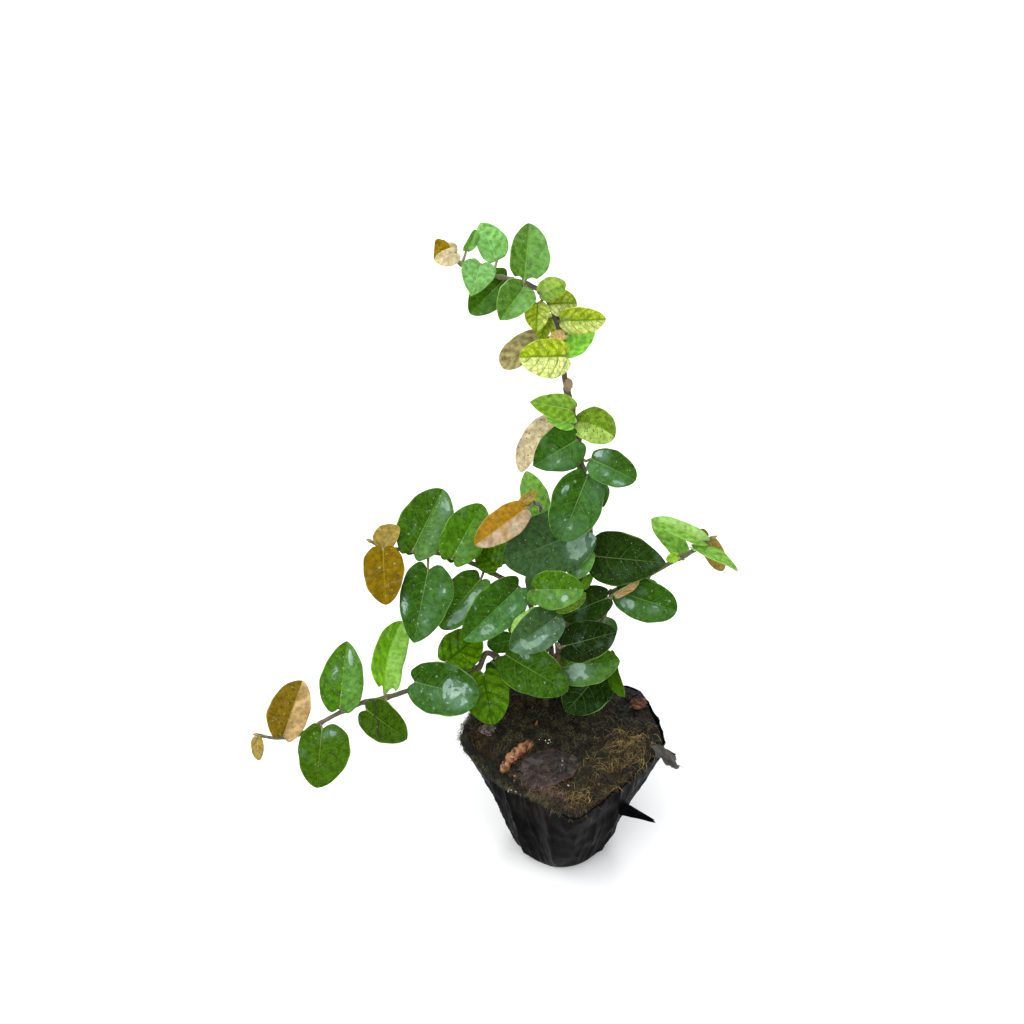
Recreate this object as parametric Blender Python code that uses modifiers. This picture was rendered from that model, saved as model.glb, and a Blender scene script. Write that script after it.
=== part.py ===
# Creeping fig growing in a black polythene grow bag.
# Lengths are in metres, +Z is up, and the origin is the centre of the bag's flat bottom.
# Leaves and stems are placed where the photograph shows them: a pixel gives the place across the view,
# and "near" says how many millimetres the point lies towards the viewer.
import math
import random
from dataclasses import dataclass

import bmesh
import bpy
from mathutils import Matrix, Vector, noise

MM = 0.001
CLEARANCE = 0.3 * MM
WELD = 0.01 * MM

# The bag
BAG_HEIGHT = 46 * MM
FILM = 0.9 * MM
RIM_WAVE = 0.7 * MM
RIM_DIP = 6 * MM
RIM_DIP_ANGLE = math.radians(203)
PLEAT_DEPTH = 0.9 * MM
BOTTOM_RADIUS = 14.5 * MM
AROUND = 36
# The five flats of the bag's section at the rim: direction in degrees, distance from the axis in mm
FLATS = [(-43, 26.5), (16, 34.5), (90, 29), (159, 34.5), (225, 22.5)]
CORNER_SHARPNESS = 13
# Share of the rim's section at each height in mm
BAG_PROFILE = [(0, 0.42), (4, 0.49), (12, 0.61), (22, 0.73), (32, 0.84), (42, 0.97), (46, 1)]

# The soil
SOIL_MOUND = 2.5 * MM
SOIL_ROUGHNESS = 1.2 * MM
SOIL_GRAIN = 9 * MM
SOIL_SINK = 0.6 * MM
SOIL_GAP = 0.5 * MM
SOIL_RING_SHARES = (1, 0.86, 0.7, 0.54, 0.38, 0.2)
HOLE_DEPTH = 10 * MM
HOLE_CLEARANCE = 0.4 * MM

# The litter
LITTER_GAP = 0.5 * MM
BARK_PIXEL = (638, 706)
BARK_RADIUS = 3.2 * MM
BARK_GAP = 0.6 * MM

# The stems and leaves
STEM_FOOT_RADIUS = 1.15 * MM
STEM_TIP_RADIUS = 0.65 * MM
LEADER_FOOT_RADIUS = 1.5 * MM
LEADER_TOP_RADIUS = 0.9 * MM
PETIOLE_RADIUS = 0.5 * MM
PETIOLE_SAG = 0.12
BLADE_THICKNESS = 0.6 * MM
BLADE_CELLS = 4
BLADE_SWELL = 1.25
RIPPLE = 0.025
NODE_GAP = 0.45 * MM

# The view that the pixels belong to
VIEW_ELEVATION = math.radians(39)
VIEW_DISTANCE = 0.6
PIXEL = 0.337 * MM
MIDDLE_PIXEL = (512, 512)
AIM = Vector((-0.0172, 0.0494, BAG_HEIGHT + 0.061))
RIGHT = Vector((1, 0, 0))
UP = Vector((0, math.sin(VIEW_ELEVATION), math.cos(VIEW_ELEVATION)))
TOWARDS = Vector((0, -math.cos(VIEW_ELEVATION), math.sin(VIEW_ELEVATION)))


@dataclass
class Leaf:
    """A leaf: the pixels of its blade's base and tip, and how the blade is held."""
    name: str
    base: tuple
    tip: tuple
    near: tuple          # mm towards the viewer, at the base and at the tip
    width: float         # mm across the blade
    roll: float = 0      # degrees that the blade turns about its midrib
    fold: float = 10     # degrees that each half rises from the midrib
    arch: float = 0.06   # share of the length by which the middle bows out
    taper: float = 0.62  # how early the blade narrows to its tip
    lobe: float = 0.09   # share of the length by which the base lobes reach back
    bend: float = 0      # share of the length by which the midrib bows to one side
    skew: float = 0      # how much wider one half is than the other


@dataclass
class Stem:
    """A stem: where it stands in the soil in mm, if it does, and the points it passes."""
    root: tuple          # x and y in mm, or None for a stretch further up
    route: list          # pixel across, pixel down, mm towards the viewer
    radii: tuple         # at the first and the last point


def seen(pixel, near):
    """The point that shows at a pixel of the photograph, so far towards the viewer."""
    across = (pixel[0] - MIDDLE_PIXEL[0]) * PIXEL
    up = (MIDDLE_PIXEL[1] - pixel[1]) * PIXEL
    shrink = 1 - near * MM / VIEW_DISTANCE
    return AIM + (RIGHT * across + UP * up) * shrink + TOWARDS * near * MM


def seen_at_height(pixel, height):
    """The point at a height that shows at a pixel of the photograph."""
    up = (MIDDLE_PIXEL[1] - pixel[1]) * PIXEL
    rise = up * math.cos(VIEW_ELEVATION)
    near = (height - AIM.z - rise) / (math.sin(VIEW_ELEVATION) - rise / VIEW_DISTANCE)
    return seen(pixel, near / MM)


# Plant

LEADER_LOWER = Stem((0.5, 20.5), [
    (560, 680, -6), (563, 650, 6), (574, 600, 20), (586, 560, 28), (589, 530, 33), (588, 505, 38),
    (584, 480, 42), (580, 460, 44.5), (577, 437, 46), (571, 408, 48), (566, 386, 49)],
    (LEADER_FOOT_RADIUS, LEADER_TOP_RADIUS * 1.25))
LEADER_YELLOW = Stem(None, [
    (566, 386, 49), (564, 372, 50), (562, 350, 52), (558, 325, 54), (550, 303, 56), (538, 289, 57)],
    (LEADER_TOP_RADIUS, LEADER_TOP_RADIUS * 0.9))
LEADER_TIP = Stem(None, [
    (538, 289, 57), (524, 283, 57), (505, 278, 55), (485, 274, 52), (468, 268, 50), (457, 261, 49)],
    (LEADER_TOP_RADIUS * 0.9, STEM_TIP_RADIUS))
LEADER_COPPER_TIP = Stem(None, [(457, 261, 49), (454.5, 257.5, 49), (452, 254.5, 49.5)],
                         (STEM_TIP_RADIUS, STEM_TIP_RADIUS * 0.8))
UPPER_LEFT = Stem((-8, 20.8), [
    (540, 660, -2), (535, 625, 8), (528, 599, 12), (514, 585, 14), (500, 577, 15), (478, 566, 17),
    (455, 557, 19), (430, 552, 20), (410, 550, 21), (393, 549, 22)],
    (STEM_FOOT_RADIUS, STEM_TIP_RADIUS))
UPPER_LEFT_COPPER_TIP = Stem(None, [(393, 549, 22), (380, 546, 23), (371, 541.5, 24)],
                             (STEM_TIP_RADIUS, STEM_TIP_RADIUS * 0.8))
LOWER_LEFT = Stem((-13, 20), [
    (525, 680, -2), (505, 663, 6), (487, 653, 9), (478, 668, 10), (455, 682, 11), (430, 688, 12),
    (411, 690, 12), (395, 695, 12), (380, 699, 12), (362, 703, 12), (335, 715, 11), (305, 732, 10),
    (290, 737, 9.3)],
    (STEM_FOOT_RADIUS, STEM_TIP_RADIUS))
LOWER_LEFT_COPPER_TIP = Stem(None, [(290, 737, 9.3), (274, 738, 8.3), (258, 735, 7)],
                             (STEM_TIP_RADIUS, STEM_TIP_RADIUS * 0.8))
RIGHT_SPRAY = Stem((7.5, 20.5), [
    (590, 670, 0), (598, 635, 12), (606, 610, 18), (614, 592, 22), (628, 586, 24), (642, 579, 25),
    (656, 571, 26), (670, 563, 27), (684, 556, 28), (694, 550, 28), (702, 543, 28)],
    (STEM_FOOT_RADIUS, STEM_TIP_RADIUS))
RIGHT_COPPER_TIP = Stem(None, [(702, 543, 28), (707, 540, 28), (712, 538, 28)],
                        (STEM_TIP_RADIUS, STEM_TIP_RADIUS * 0.8))
CENTRE_SHOOT = Stem((-3, 21.8), [
    (552, 660, -5), (548, 620, 5), (543, 580, 12), (541, 545, 17), (541, 514, 26)],
    (STEM_FOOT_RADIUS, STEM_TIP_RADIUS))
CENTRE_COPPER = Stem(None, [(541, 514, 26), (540, 505, 32), (533, 503, 39)],
                     (STEM_TIP_RADIUS, STEM_TIP_RADIUS))
FRONT_SHOOT = Stem((-5.5, 17.5), [
    (540, 670, 2), (548, 645, 16), (550, 625, 26), (548, 608, 32), (545, 596, 36)],
    (STEM_FOOT_RADIUS, STEM_TIP_RADIUS))
LOW_RIGHT_SHOOT = Stem((4.5, 16.5), [
    (568, 680, -5), (562, 665, 8), (558, 655, 14), (557, 644, 22)],
    (STEM_FOOT_RADIUS, STEM_TIP_RADIUS))

LEADER_LOWER_LEAVES = [
    Leaf("folded_light", (572, 410), (530, 402), (51, 54), 8.6, fold=28, taper=0.78),
    Leaf("small_behind_folded", (573, 424), (545, 411), (49.8, 49), 6.5),
    Leaf("spotted", (578, 422), (615, 437), (48, 51), 11.2, taper=0.5, bend=-0.08),
    Leaf("heart", (577, 440), (533, 466), (49, 47), 15, fold=6, taper=0.85),
    Leaf("glossy_right", (591, 459), (636, 480), (53, 59), 11, taper=0.5, lobe=0.02),
    Leaf("long_hanging", (587, 477), (561, 541), (50, 45), 16.3, taper=0.6),
    Leaf("bluish_wide", (585, 530), (504, 562), (38, 34), 21),
    Leaf("deep_right", (594, 556), (666, 563), (32, 35), 18.3, taper=0.85),
    Leaf("bright_small", (568, 572), (594, 552), (34, 38), 8.5),
    Leaf("tiny_bright", (583, 588), (592, 573), (28, 28), 3),
    Leaf("back_high", (597, 506), (586, 474), (34, 17), 11),
    Leaf("back_heart", (572, 446), (556, 450), (41, 27), 10),
    Leaf("back_right", (590, 566), (610, 550), (22, 5), 10),
    Leaf("back_low", (577, 602), (571, 574), (13, -6), 11),
]
LEADER_YELLOW_LEAVES = [
    Leaf("yellow_top", (541, 293), (566, 283), (59.6, 61), 7.3, lobe=0.12),
    Leaf("yellow_behind", (549, 304), (577, 303), (57.5, 52), 8.5),
    Leaf("yellow_left", (537.5, 303.5), (536, 331), (58, 61), 7.8),
    Leaf("yellow_dark", (547, 319), (541, 341), (54, 55), 5.5, roll=20),
    Leaf("yellow_right", (563, 320), (606, 319), (58, 61), 8.8, roll=20),
    Leaf("green_under_yellow", (566, 353), (593, 327), (53, 49), 7.5),
    Leaf("yellow_large", (566, 356), (519, 357), (59, 63), 12.4, taper=0.6, skew=-0.12),
    Leaf("yellow_back", (561, 335), (558, 311), (49, 35), 8),
]
LEADER_TIP_LEAVES = [
    Leaf("erect", (524, 282), (529, 223), (61.5, 55), 12.8, roll=8, taper=0.7, lobe=-0.08, skew=0.14),
    Leaf("dark_behind", (507, 277), (470, 314), (51, 53), 11.6),
    Leaf("folded_front", (524, 288), (500, 320), (62, 67), 11, fold=32, lobe=0.05),
    Leaf("heart_small", (481, 264), (471.5, 295.5), (58, 67), 11, taper=0.8),
    Leaf("pale_high", (497, 260), (480, 223), (52, 45), 10, taper=0.8, lobe=0.02, skew=0.15),
    Leaf("rolled_young", (466.5, 249.5), (475.5, 229.5), (52.5, 55), 6, roll=58),
]
LEADER_COPPER_LEAVES = [
    Leaf("copper_folded", (456, 252.5), (434.5, 261), (54.5, 56), 5.6, fold=18, lobe=0.12, skew=-0.3),
    Leaf("copper_sliver", (456, 248), (445, 245), (49, 49), 3, roll=30),
    Leaf("copper_fan", (450, 251), (434, 250), (50.5, 50), 6.9, taper=0.2, lobe=0),
]
UPPER_LEFT_LEAVES = [
    Leaf("far_left", (413, 550), (443, 489), (23, 18), 17.3, lobe=0.12),
    Leaf("left_of_middle", (453, 557), (482, 504), (25, 22), 14.6, lobe=0.12),
    Leaf("hanging_left", (428, 570), (414, 643), (25, 31), 17.5, taper=0.74, skew=-0.13),
    Leaf("hanging_middle", (480, 580), (441, 629), (18, 20), 15, roll=20),
    Leaf("hanging_right", (518, 588), (463, 640), (21, 29), 15),
    Leaf("dark_between", (497, 568), (478, 548), (20, 17), 9),
    Leaf("back_middle", (457, 560), (462, 522), (15, -3), 12),
    Leaf("back_left", (415, 553), (425, 517), (17, -1), 12),
    Leaf("back_foot", (532, 636), (514, 616), (1, -14), 10),
]
UPPER_LEFT_COPPER_LEAVES = [
    Leaf("copper_up", (383, 550), (399, 526), (26, 25), 7.8, fold=16, lobe=0.03, skew=-0.43),
    Leaf("olive_gold", (383, 549), (386, 605), (29, 34), 13.4, lobe=0.05),
]
LOWER_LEFT_LEAVES = [
    Leaf("under_middle", (446, 662), (480, 634), (14, 9), 14),
    Leaf("shining", (415, 682), (479, 697), (17, 22), 17.5, taper=0.5),
    Leaf("veined_hanging", (483, 674), (493, 725), (13, 18), 15.5),
    Leaf("bright_narrow", (385, 696), (402, 621), (17, 12), 12.5, roll=30, taper=0.5, lobe=-0.12,
         bend=-0.12),
    Leaf("olive_hanging", (367, 710), (407, 739), (14.5, 23), 13),
    Leaf("pale_high", (340, 707), (347, 641), (14, 9), 15, taper=0.76),
    Leaf("olive_low", (322, 729), (317, 788), (13, 20), 17.5, skew=-0.18),
    Leaf("front_dark", (506, 655), (568, 691), (14, 24), 16.5),
    Leaf("centre_small", (512, 640), (487, 645), (4, 3), 7.5),
    Leaf("back_root", (468, 675), (455, 648), (7, -8), 10),
    Leaf("back_low", (492, 662), (510, 682), (2, -12), 10),
    Leaf("back_middle", (430, 690), (440, 670), (8, -12), 10),
    Leaf("back_far", (345, 706), (345, 674), (7, -9), 10),
]
LOWER_LEFT_COPPER_LEAVES = [
    Leaf("copper_up", (284, 735), (302.5, 680.5), (12, 8), 13.7, fold=22, lobe=0.1, skew=-0.1),
    Leaf("tan_small", (257, 738), (259, 760.6), (10, 12), 4.4),
]
RIGHT_LEAVES = [
    Leaf("dark_hanging", (620, 592), (677, 611), (27, 32), 13.5, taper=0.5),
    Leaf("deep_left", (607, 598), (563, 618), (28, 24), 12, roll=20),
    Leaf("bract", (678, 556), (666, 560), (30, 31), 3.4),
    Leaf("light_behind", (684, 555), (652, 520), (24, 20), 7.2, roll=15),
    Leaf("light_spotted", (704, 541), (651, 519), (32, 31), 6.4, roll=25),
    Leaf("light_right", (694, 548), (738, 571), (31, 34), 7.5, roll=-62),
    Leaf("low_dark", (600, 672), (566, 712), (6, 13), 17),
    Leaf("low_olive", (611, 655), (624, 697), (11, 15), 9, roll=58),
    Leaf("back_high", (628, 586), (640, 552), (18, -2), 12),
    Leaf("back_low", (641, 584), (652, 602), (21, 6), 10),
    Leaf("back_foot", (600, 640), (605, 616), (4, -13), 10),
]
RIGHT_COPPER_LEAVES = [
    Leaf("copper_bud", (706, 538), (700, 529), (30, 29), 3),
    Leaf("copper_hanging", (709, 540), (723, 571), (26, 25), 6.6, skew=0.1),
]
CENTRE_LEAVES = [
    Leaf("dotted_high", (540, 514), (526, 471), (22, 19), 9.5, taper=0.76),
    Leaf("behind_wide", (524, 548), (484, 560), (14, 9), 11, roll=35),
    Leaf("back_high", (544, 600), (536, 568), (4, -14), 10),
    Leaf("back_low", (550, 632), (552, 606), (-3, -20), 11),
]
CENTRE_COPPER_LEAVES = [
    Leaf("copper_old", (526, 508), (475, 545), (45, 42), 10.5, lobe=0.02),
    Leaf("olive_small", (521, 503), (537, 492), (41, 41), 3.6),
]
FRONT_LEAVES = [
    Leaf("bright_front", (536, 590), (584, 589), (44, 49), 12.5),
    Leaf("lime_under", (557, 608), (586, 593), (42, 43), 6.5, roll=32),
    Leaf("fresh_left", (538, 603), (530, 590), (34, 33), 5),
    Leaf("lime_folded", (540, 612), (511, 633), (36, 35), 7, roll=52),
    Leaf("grey_green", (556, 617), (510, 650), (38, 45), 13),
]
LOW_RIGHT_LEAVES = [
    Leaf("deep_right", (564, 646), (616, 632), (29, 33), 13.5),
    Leaf("glossy_low", (563, 667), (620, 661), (15, 24), 14),
    Leaf("back_small", (575, 664), (585, 645), (1, -12), 8),
]

LEAFY_STEMS = {
    "leader_lower": (LEADER_LOWER, LEADER_LOWER_LEAVES),
    "leader_yellow": (LEADER_YELLOW, LEADER_YELLOW_LEAVES),
    "leader_tip": (LEADER_TIP, LEADER_TIP_LEAVES),
    "leader_copper_tip": (LEADER_COPPER_TIP, LEADER_COPPER_LEAVES),
    "upper_left_spray": (UPPER_LEFT, UPPER_LEFT_LEAVES),
    "upper_left_copper_tip": (UPPER_LEFT_COPPER_TIP, UPPER_LEFT_COPPER_LEAVES),
    "lower_left_spray": (LOWER_LEFT, LOWER_LEFT_LEAVES),
    "lower_left_copper_tip": (LOWER_LEFT_COPPER_TIP, LOWER_LEFT_COPPER_LEAVES),
    "right_spray": (RIGHT_SPRAY, RIGHT_LEAVES),
    "right_copper_tip": (RIGHT_COPPER_TIP, RIGHT_COPPER_LEAVES),
    "centre_shoot": (CENTRE_SHOOT, CENTRE_LEAVES),
    "centre_copper_tip": (CENTRE_COPPER, CENTRE_COPPER_LEAVES),
    "front_shoot": (FRONT_SHOOT, FRONT_LEAVES),
    "low_right_shoot": (LOW_RIGHT_SHOOT, LOW_RIGHT_LEAVES),
}
# Dry leaves of another colour on the leader, each with the point of the leader that carries it
DRY_LEAVES = {
    "dry_leaf_tan": (Leaf("tan", (543, 337), (501, 366), (50, 47), 9.7, roll=20, taper=0.45),
                     (559, 333, 54)),
    "dry_leaf_sliver": (Leaf("sliver", (566, 334), (549, 338), (56, 56), 3.5), (561, 341, 53)),
    "dry_leaf_beige": (Leaf("beige", (550, 421), (520, 472), (40, 36), 8.5, roll=20, bend=0.06),
                       (577, 434, 46)),
}

COLOURS = {
    "film": (0.004, 0.004, 0.005), "soil": (0.012, 0.010, 0.007), "dark": (0.03, 0.11, 0.014),
    "yellow": (0.42, 0.5, 0.05), "fresh": (0.10, 0.27, 0.05), "copper": (0.3, 0.12, 0.02),
    "tan": (0.5, 0.36, 0.18), "bark": (0.18, 0.06, 0.03), "litter": (0.04, 0.025, 0.02),
}


def material(colour, roughness=0.6):
    """The plain finish of one colour, made once."""
    found = bpy.data.materials.get(colour)
    if found:
        return found
    made = bpy.data.materials.new(colour)
    made.use_nodes = True
    shader = made.node_tree.nodes["Principled BSDF"]
    shader.inputs["Base Color"].default_value = (*COLOURS[colour], 1)
    shader.inputs["Roughness"].default_value = roughness
    shader.inputs["Metallic"].default_value = 0
    return made


def new_object(name, mesh, colour=None):
    """An object for a mesh, in the plant's own collection."""
    item = bpy.data.objects.new(name, mesh)
    PLANT.objects.link(item)
    if colour:
        mesh.materials.clear()
        mesh.materials.append(material(colour))
    return item


def apply_modifiers(item):
    """An object's mesh with its modifiers, or a curve's tube, as a plain mesh."""
    bpy.context.view_layer.update()
    evaluated = item.evaluated_get(bpy.context.evaluated_depsgraph_get())
    return bpy.data.meshes.new_from_object(evaluated)


def weld(mesh):
    """Join the points of a mesh that lie in the same place."""
    bm = bmesh.new()
    bm.from_mesh(mesh)
    bmesh.ops.remove_doubles(bm, verts=bm.verts, dist=WELD)
    bm.to_mesh(mesh)
    bm.free()


def tube(name, points, radii, roundness=1):
    """A tube through points that thins evenly from the first radius to the last."""
    curve = bpy.data.curves.new(name, "CURVE")
    curve.dimensions = "3D"
    curve.bevel_depth = 1
    curve.bevel_resolution = roundness
    curve.use_fill_caps = True
    spline = curve.splines.new("POLY")
    spline.points.add(len(points) - 1)
    for index, point in enumerate(points):
        share = index / (len(points) - 1)
        spline.points[index].co = (*point, 1)
        spline.points[index].radius = radii[0] + (radii[1] - radii[0]) * share
    guide = bpy.data.objects.new(name, curve)
    PLANT.objects.link(guide)
    mesh = apply_modifiers(guide)
    bpy.data.objects.remove(guide)
    weld(mesh)
    return mesh


def half_width(along, taper=0.62):
    """A fig blade's half width as a share of its widest: heart-shaped base, bluntly pointed tip."""
    widest = (BLADE_SWELL - taper) / (BLADE_SWELL * (1 + taper))
    full = (1 - widest) ** taper * (1 + BLADE_SWELL * widest)
    shape = (1 - along) ** taper * (1 + BLADE_SWELL * along) / full
    return shape * (1 - 0.45 * (1 - along) ** 8)


def row_place(level):
    """Where a row of the blade lies from base to tip, for a level from -1 to 1: rows crowd at the tip."""
    return 1 - ((1 - level) / 2) ** 1.3


def blade_frame(leaf):
    """The blade's own axes: X across it, Y along the midrib, Z out of the upper face."""
    base = seen(leaf.base, leaf.near[0])
    tip = seen(leaf.tip, leaf.near[1])
    along = (tip - base).normalized()
    face = (TOWARDS - along * TOWARDS.dot(along)).normalized()
    face.rotate(Matrix.Rotation(math.radians(leaf.roll), 3, along))
    across = along.cross(face)
    axes = Matrix((across, along, face)).transposed().to_4x4()
    return Matrix.Translation(base) @ axes, (tip - base).length


def midrib_bow(leaf, length, along):
    """How far the midrib bows to one side at a place along it."""
    return leaf.bend * length * 4 * along * (1 - along)


def blade_point(leaf, length, side, along):
    """A point of the blade in its own axes; side runs from -1 to 1 and along from 0 to 1."""
    wider = 1 + leaf.skew if side > 0 else 1 - leaf.skew
    across = side * wider * half_width(along, leaf.taper) * leaf.width * MM / 2
    lobe = leaf.lobe * length * math.sin(0.75 * math.pi * abs(side)) * (1 - along) ** 3
    rise = abs(across) * math.tan(math.radians(leaf.fold))
    bow = leaf.arch * length * 4 * along * (1 - along)
    ripple = RIPPLE * length * half_width(along) * side ** 2 * math.sin(7 * along + 2 * side)
    return Vector((across + midrib_bow(leaf, length, along), length * along - lobe, rise + bow + ripple))


def blade_mesh(leaf):
    """A leaf blade as a thin closed solid, split into triangles alike on both faces."""
    frame, length = blade_frame(leaf)
    bm = bmesh.new()
    bmesh.ops.create_grid(bm, x_segments=BLADE_CELLS, y_segments=BLADE_CELLS, size=1)
    for vert in bm.verts:
        vert.co = frame @ blade_point(leaf, length, vert.co.x, row_place(vert.co.y))
    bmesh.ops.remove_doubles(bm, verts=bm.verts, dist=WELD)
    bmesh.ops.triangulate(bm, faces=bm.faces)
    mesh = bpy.data.meshes.new(leaf.name)
    bm.to_mesh(mesh)
    bm.free()
    sheet = bpy.data.objects.new(leaf.name, mesh)
    PLANT.objects.link(sheet)
    thicken = sheet.modifiers.new("thickness", "SOLIDIFY")
    thicken.thickness = BLADE_THICKNESS
    thicken.offset = 0
    solid = apply_modifiers(sheet)
    bpy.data.objects.remove(sheet)
    return solid


def nearest_on(points, target):
    """The point of a bent line that lies nearest to a target."""
    best = points[0]
    for start, end in zip(points, points[1:]):
        run = end - start
        share = max(0, min(1, (target - start).dot(run) / run.length_squared))
        spot = start + run * share
        if (spot - target).length < (best - target).length:
            best = spot
    return best


def petiole_mesh(leaf, carrier):
    """The leaf's stalk, from its stem to a little way along the under side of the blade."""
    frame, length = blade_frame(leaf)
    start = nearest_on(carrier, frame.translation)
    end = frame @ Vector((midrib_bow(leaf, length, 0.12), 0.12 * length, 0.1 * MM))
    middle = (start + frame.translation) / 2 - UP * (frame.translation - start).length * PETIOLE_SAG
    return tube(leaf.name, [start, middle, end], (PETIOLE_RADIUS, PETIOLE_RADIUS), roundness=0)


def stem_points(stem):
    """The points of a stem: straight up out of the soil, then along its route."""
    points = [seen(pixel[:2], pixel[2]) for pixel in stem.route]
    if stem.root:
        foot = Vector((stem.root[0] * MM, stem.root[1] * MM, BAG_HEIGHT))
        points = [foot - Vector((0, 0, HOLE_DEPTH - CLEARANCE)), foot + Vector((0, 0, SOIL_MOUND))] + points
    else:
        points[0] = points[0] + (points[1] - points[0]).normalized() * NODE_GAP
    return points


def join_as_one(item, pieces):
    """Unite an object with more meshes into one closed body."""
    parts = bpy.data.collections.new("to join")
    bpy.context.scene.collection.children.link(parts)
    for index, mesh in enumerate(pieces):
        parts.objects.link(bpy.data.objects.new(f"piece {index}", mesh))
    union = item.modifiers.new("join", "BOOLEAN")
    union.operation = "UNION"
    union.operand_type = "COLLECTION"
    union.collection = parts
    union.solver = "EXACT"
    joined = apply_modifiers(item)
    item.modifiers.clear()
    item.data = joined
    for piece in list(parts.objects):
        bpy.data.objects.remove(piece)
    bpy.data.collections.remove(parts)


def make_leafy_stem(name, stem, leaves, colour):
    """A stem with its leaves, all one body."""
    points = stem_points(stem)
    item = new_object(name, tube(name, points, stem.radii), colour)
    pieces = []
    for leaf in leaves:
        pieces.append(petiole_mesh(leaf, points))
        pieces.append(blade_mesh(leaf))
    join_as_one(item, pieces)


def make_dry_leaf(name, leaf, carrier_pixel):
    """A dry leaf of its own colour, whose stalk stops just short of the leader."""
    carrier = seen(carrier_pixel[:2], carrier_pixel[2])
    base = seen(leaf.base, leaf.near[0])
    reach = (base - carrier).normalized() * (LEADER_TOP_RADIUS + NODE_GAP)
    item = new_object(name, petiole_mesh(leaf, [carrier + reach, carrier + reach * 1.01]), "tan")
    join_as_one(item, [blade_mesh(leaf)])


# Bag and soil

def rim_section(angle):
    """The bag's radius at the rim: five flats with rounded corners between them."""
    total = 0
    for direction, distance in FLATS:
        facing = math.cos(angle - math.radians(direction))
        if facing > 0:
            total += (facing / (distance * MM)) ** CORNER_SHARPNESS
    return total ** (-1 / CORNER_SHARPNESS)


def pleat(angle):
    """How far the gathered film stands in or out, between -1 and 1."""
    return 0.6 * math.sin(7 * angle + 0.4) + 0.4 * math.sin(11 * angle + 1.9)


def rim_drop(angle):
    """How far the rim has sunk: on the left front, where moss grows over it."""
    return max(0, math.cos(angle - RIM_DIP_ANGLE)) ** 6 * RIM_DIP


def rim_height(angle):
    """The rim's height: gently waved, and lower on the left front."""
    return BAG_HEIGHT - rim_drop(angle) + RIM_WAVE * math.sin(4 * angle + 0.6)


def bag_radius(angle, share):
    """The bag's radius at a share of the rim's section; it grows rounder towards the bottom."""
    roundness = (1 - share) / (1 - BAG_PROFILE[0][1])
    round_radius = BOTTOM_RADIUS / BAG_PROFILE[0][1]
    section = rim_section(angle) * (1 - roundness) + round_radius * roundness
    gather = 4 * roundness * (1 - roundness) + 0.15
    return section * share + PLEAT_DEPTH * gather * pleat(angle)


def ring(radius_at, height_at):
    """Points round the bag's axis."""
    points = []
    for step in range(AROUND):
        angle = 2 * math.pi * step / AROUND
        radius = radius_at(angle)
        points.append(Vector((radius * math.cos(angle), radius * math.sin(angle), height_at(angle))))
    return points


def loft(name, rings):
    """A closed body through rings of points, from the first, which is capped, to the last, also capped."""
    bm = bmesh.new()
    levels = [[bm.verts.new(point) for point in points] for points in rings]
    for lower, upper in zip(levels, levels[1:]):
        for step in range(AROUND):
            after = (step + 1) % AROUND
            bm.faces.new((lower[step], lower[after], upper[after], upper[step]))
    bm.faces.new(list(reversed(levels[0])))
    bm.faces.new(levels[-1])
    bmesh.ops.triangulate(bm, faces=bm.faces)
    mesh = bpy.data.meshes.new(name)
    bm.to_mesh(mesh)
    bm.free()
    return mesh


def wall_height(angle, z):
    """The height on the wall of a level of the profile, which sinks with the rim."""
    return z * MM * rim_height(angle) / BAG_HEIGHT


def make_bag():
    """The bag: a thin wall with a flat bottom, open at the top."""
    outside = [ring(lambda angle, share=share: bag_radius(angle, share),
                    lambda angle, z=z: wall_height(angle, z))
               for z, share in BAG_PROFILE]
    inside = [ring(lambda angle, share=share: bag_radius(angle, share) - FILM,
                   lambda angle, z=z: max(wall_height(angle, z), FILM))
              for z, share in reversed(BAG_PROFILE)]
    new_object("grow_bag", loft("grow_bag", outside + inside), "film")


def soil_top(x, y):
    """The height of the soil's surface: a low mound with clods."""
    angle = math.atan2(y, x)
    reach = min(1, math.hypot(x, y) / rim_section(angle))
    clod = noise.noise(Vector((x, y, 0)) / SOIL_GRAIN) * SOIL_ROUGHNESS
    return BAG_HEIGHT - SOIL_SINK + SOIL_MOUND * (1 - reach ** 2) - rim_drop(angle) * reach ** 5 + clod


def make_soil():
    """The root ball, which fills the bag, with a plain hole for each stem."""
    inset = FILM + SOIL_GAP
    sides = [ring(lambda angle, share=share: bag_radius(angle, share) - inset,
                  lambda angle, z=z: max(wall_height(angle, z), FILM + SOIL_GAP))
             for z, share in BAG_PROFILE[:-1]]
    tops = []
    for share in SOIL_RING_SHARES:
        flat = ring(lambda angle, share=share: (bag_radius(angle, 1) - inset) * share, lambda angle: 0)
        tops.append([Vector((point.x, point.y, soil_top(point.x, point.y))) for point in flat])
    soil = new_object("soil_block", loft("soil_block", sides + tops), "soil")
    for stem, leaves in LEAFY_STEMS.values():
        if stem.root:
            drill(soil, stem)
    soil.data = apply_modifiers(soil)
    soil.modifiers.clear()
    for cutter in list(CUTTERS.objects):
        bpy.data.objects.remove(cutter)


def drill(soil, stem):
    """Cut the blind hole that a stem stands in."""
    foot = Vector((stem.root[0] * MM, stem.root[1] * MM, BAG_HEIGHT))
    depth = Vector((0, 0, HOLE_DEPTH))
    radius = stem.radii[0] + HOLE_CLEARANCE
    hole = bpy.data.objects.new("hole", tube("hole", [foot - depth, foot + depth], (radius, radius)))
    hole.hide_render = True
    hole.display_type = "WIRE"
    CUTTERS.objects.link(hole)
    cut = soil.modifiers.new("hole", "BOOLEAN")
    cut.operation = "DIFFERENCE"
    cut.object = hole
    cut.solver = "EXACT"


# Litter on the soil

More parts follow.
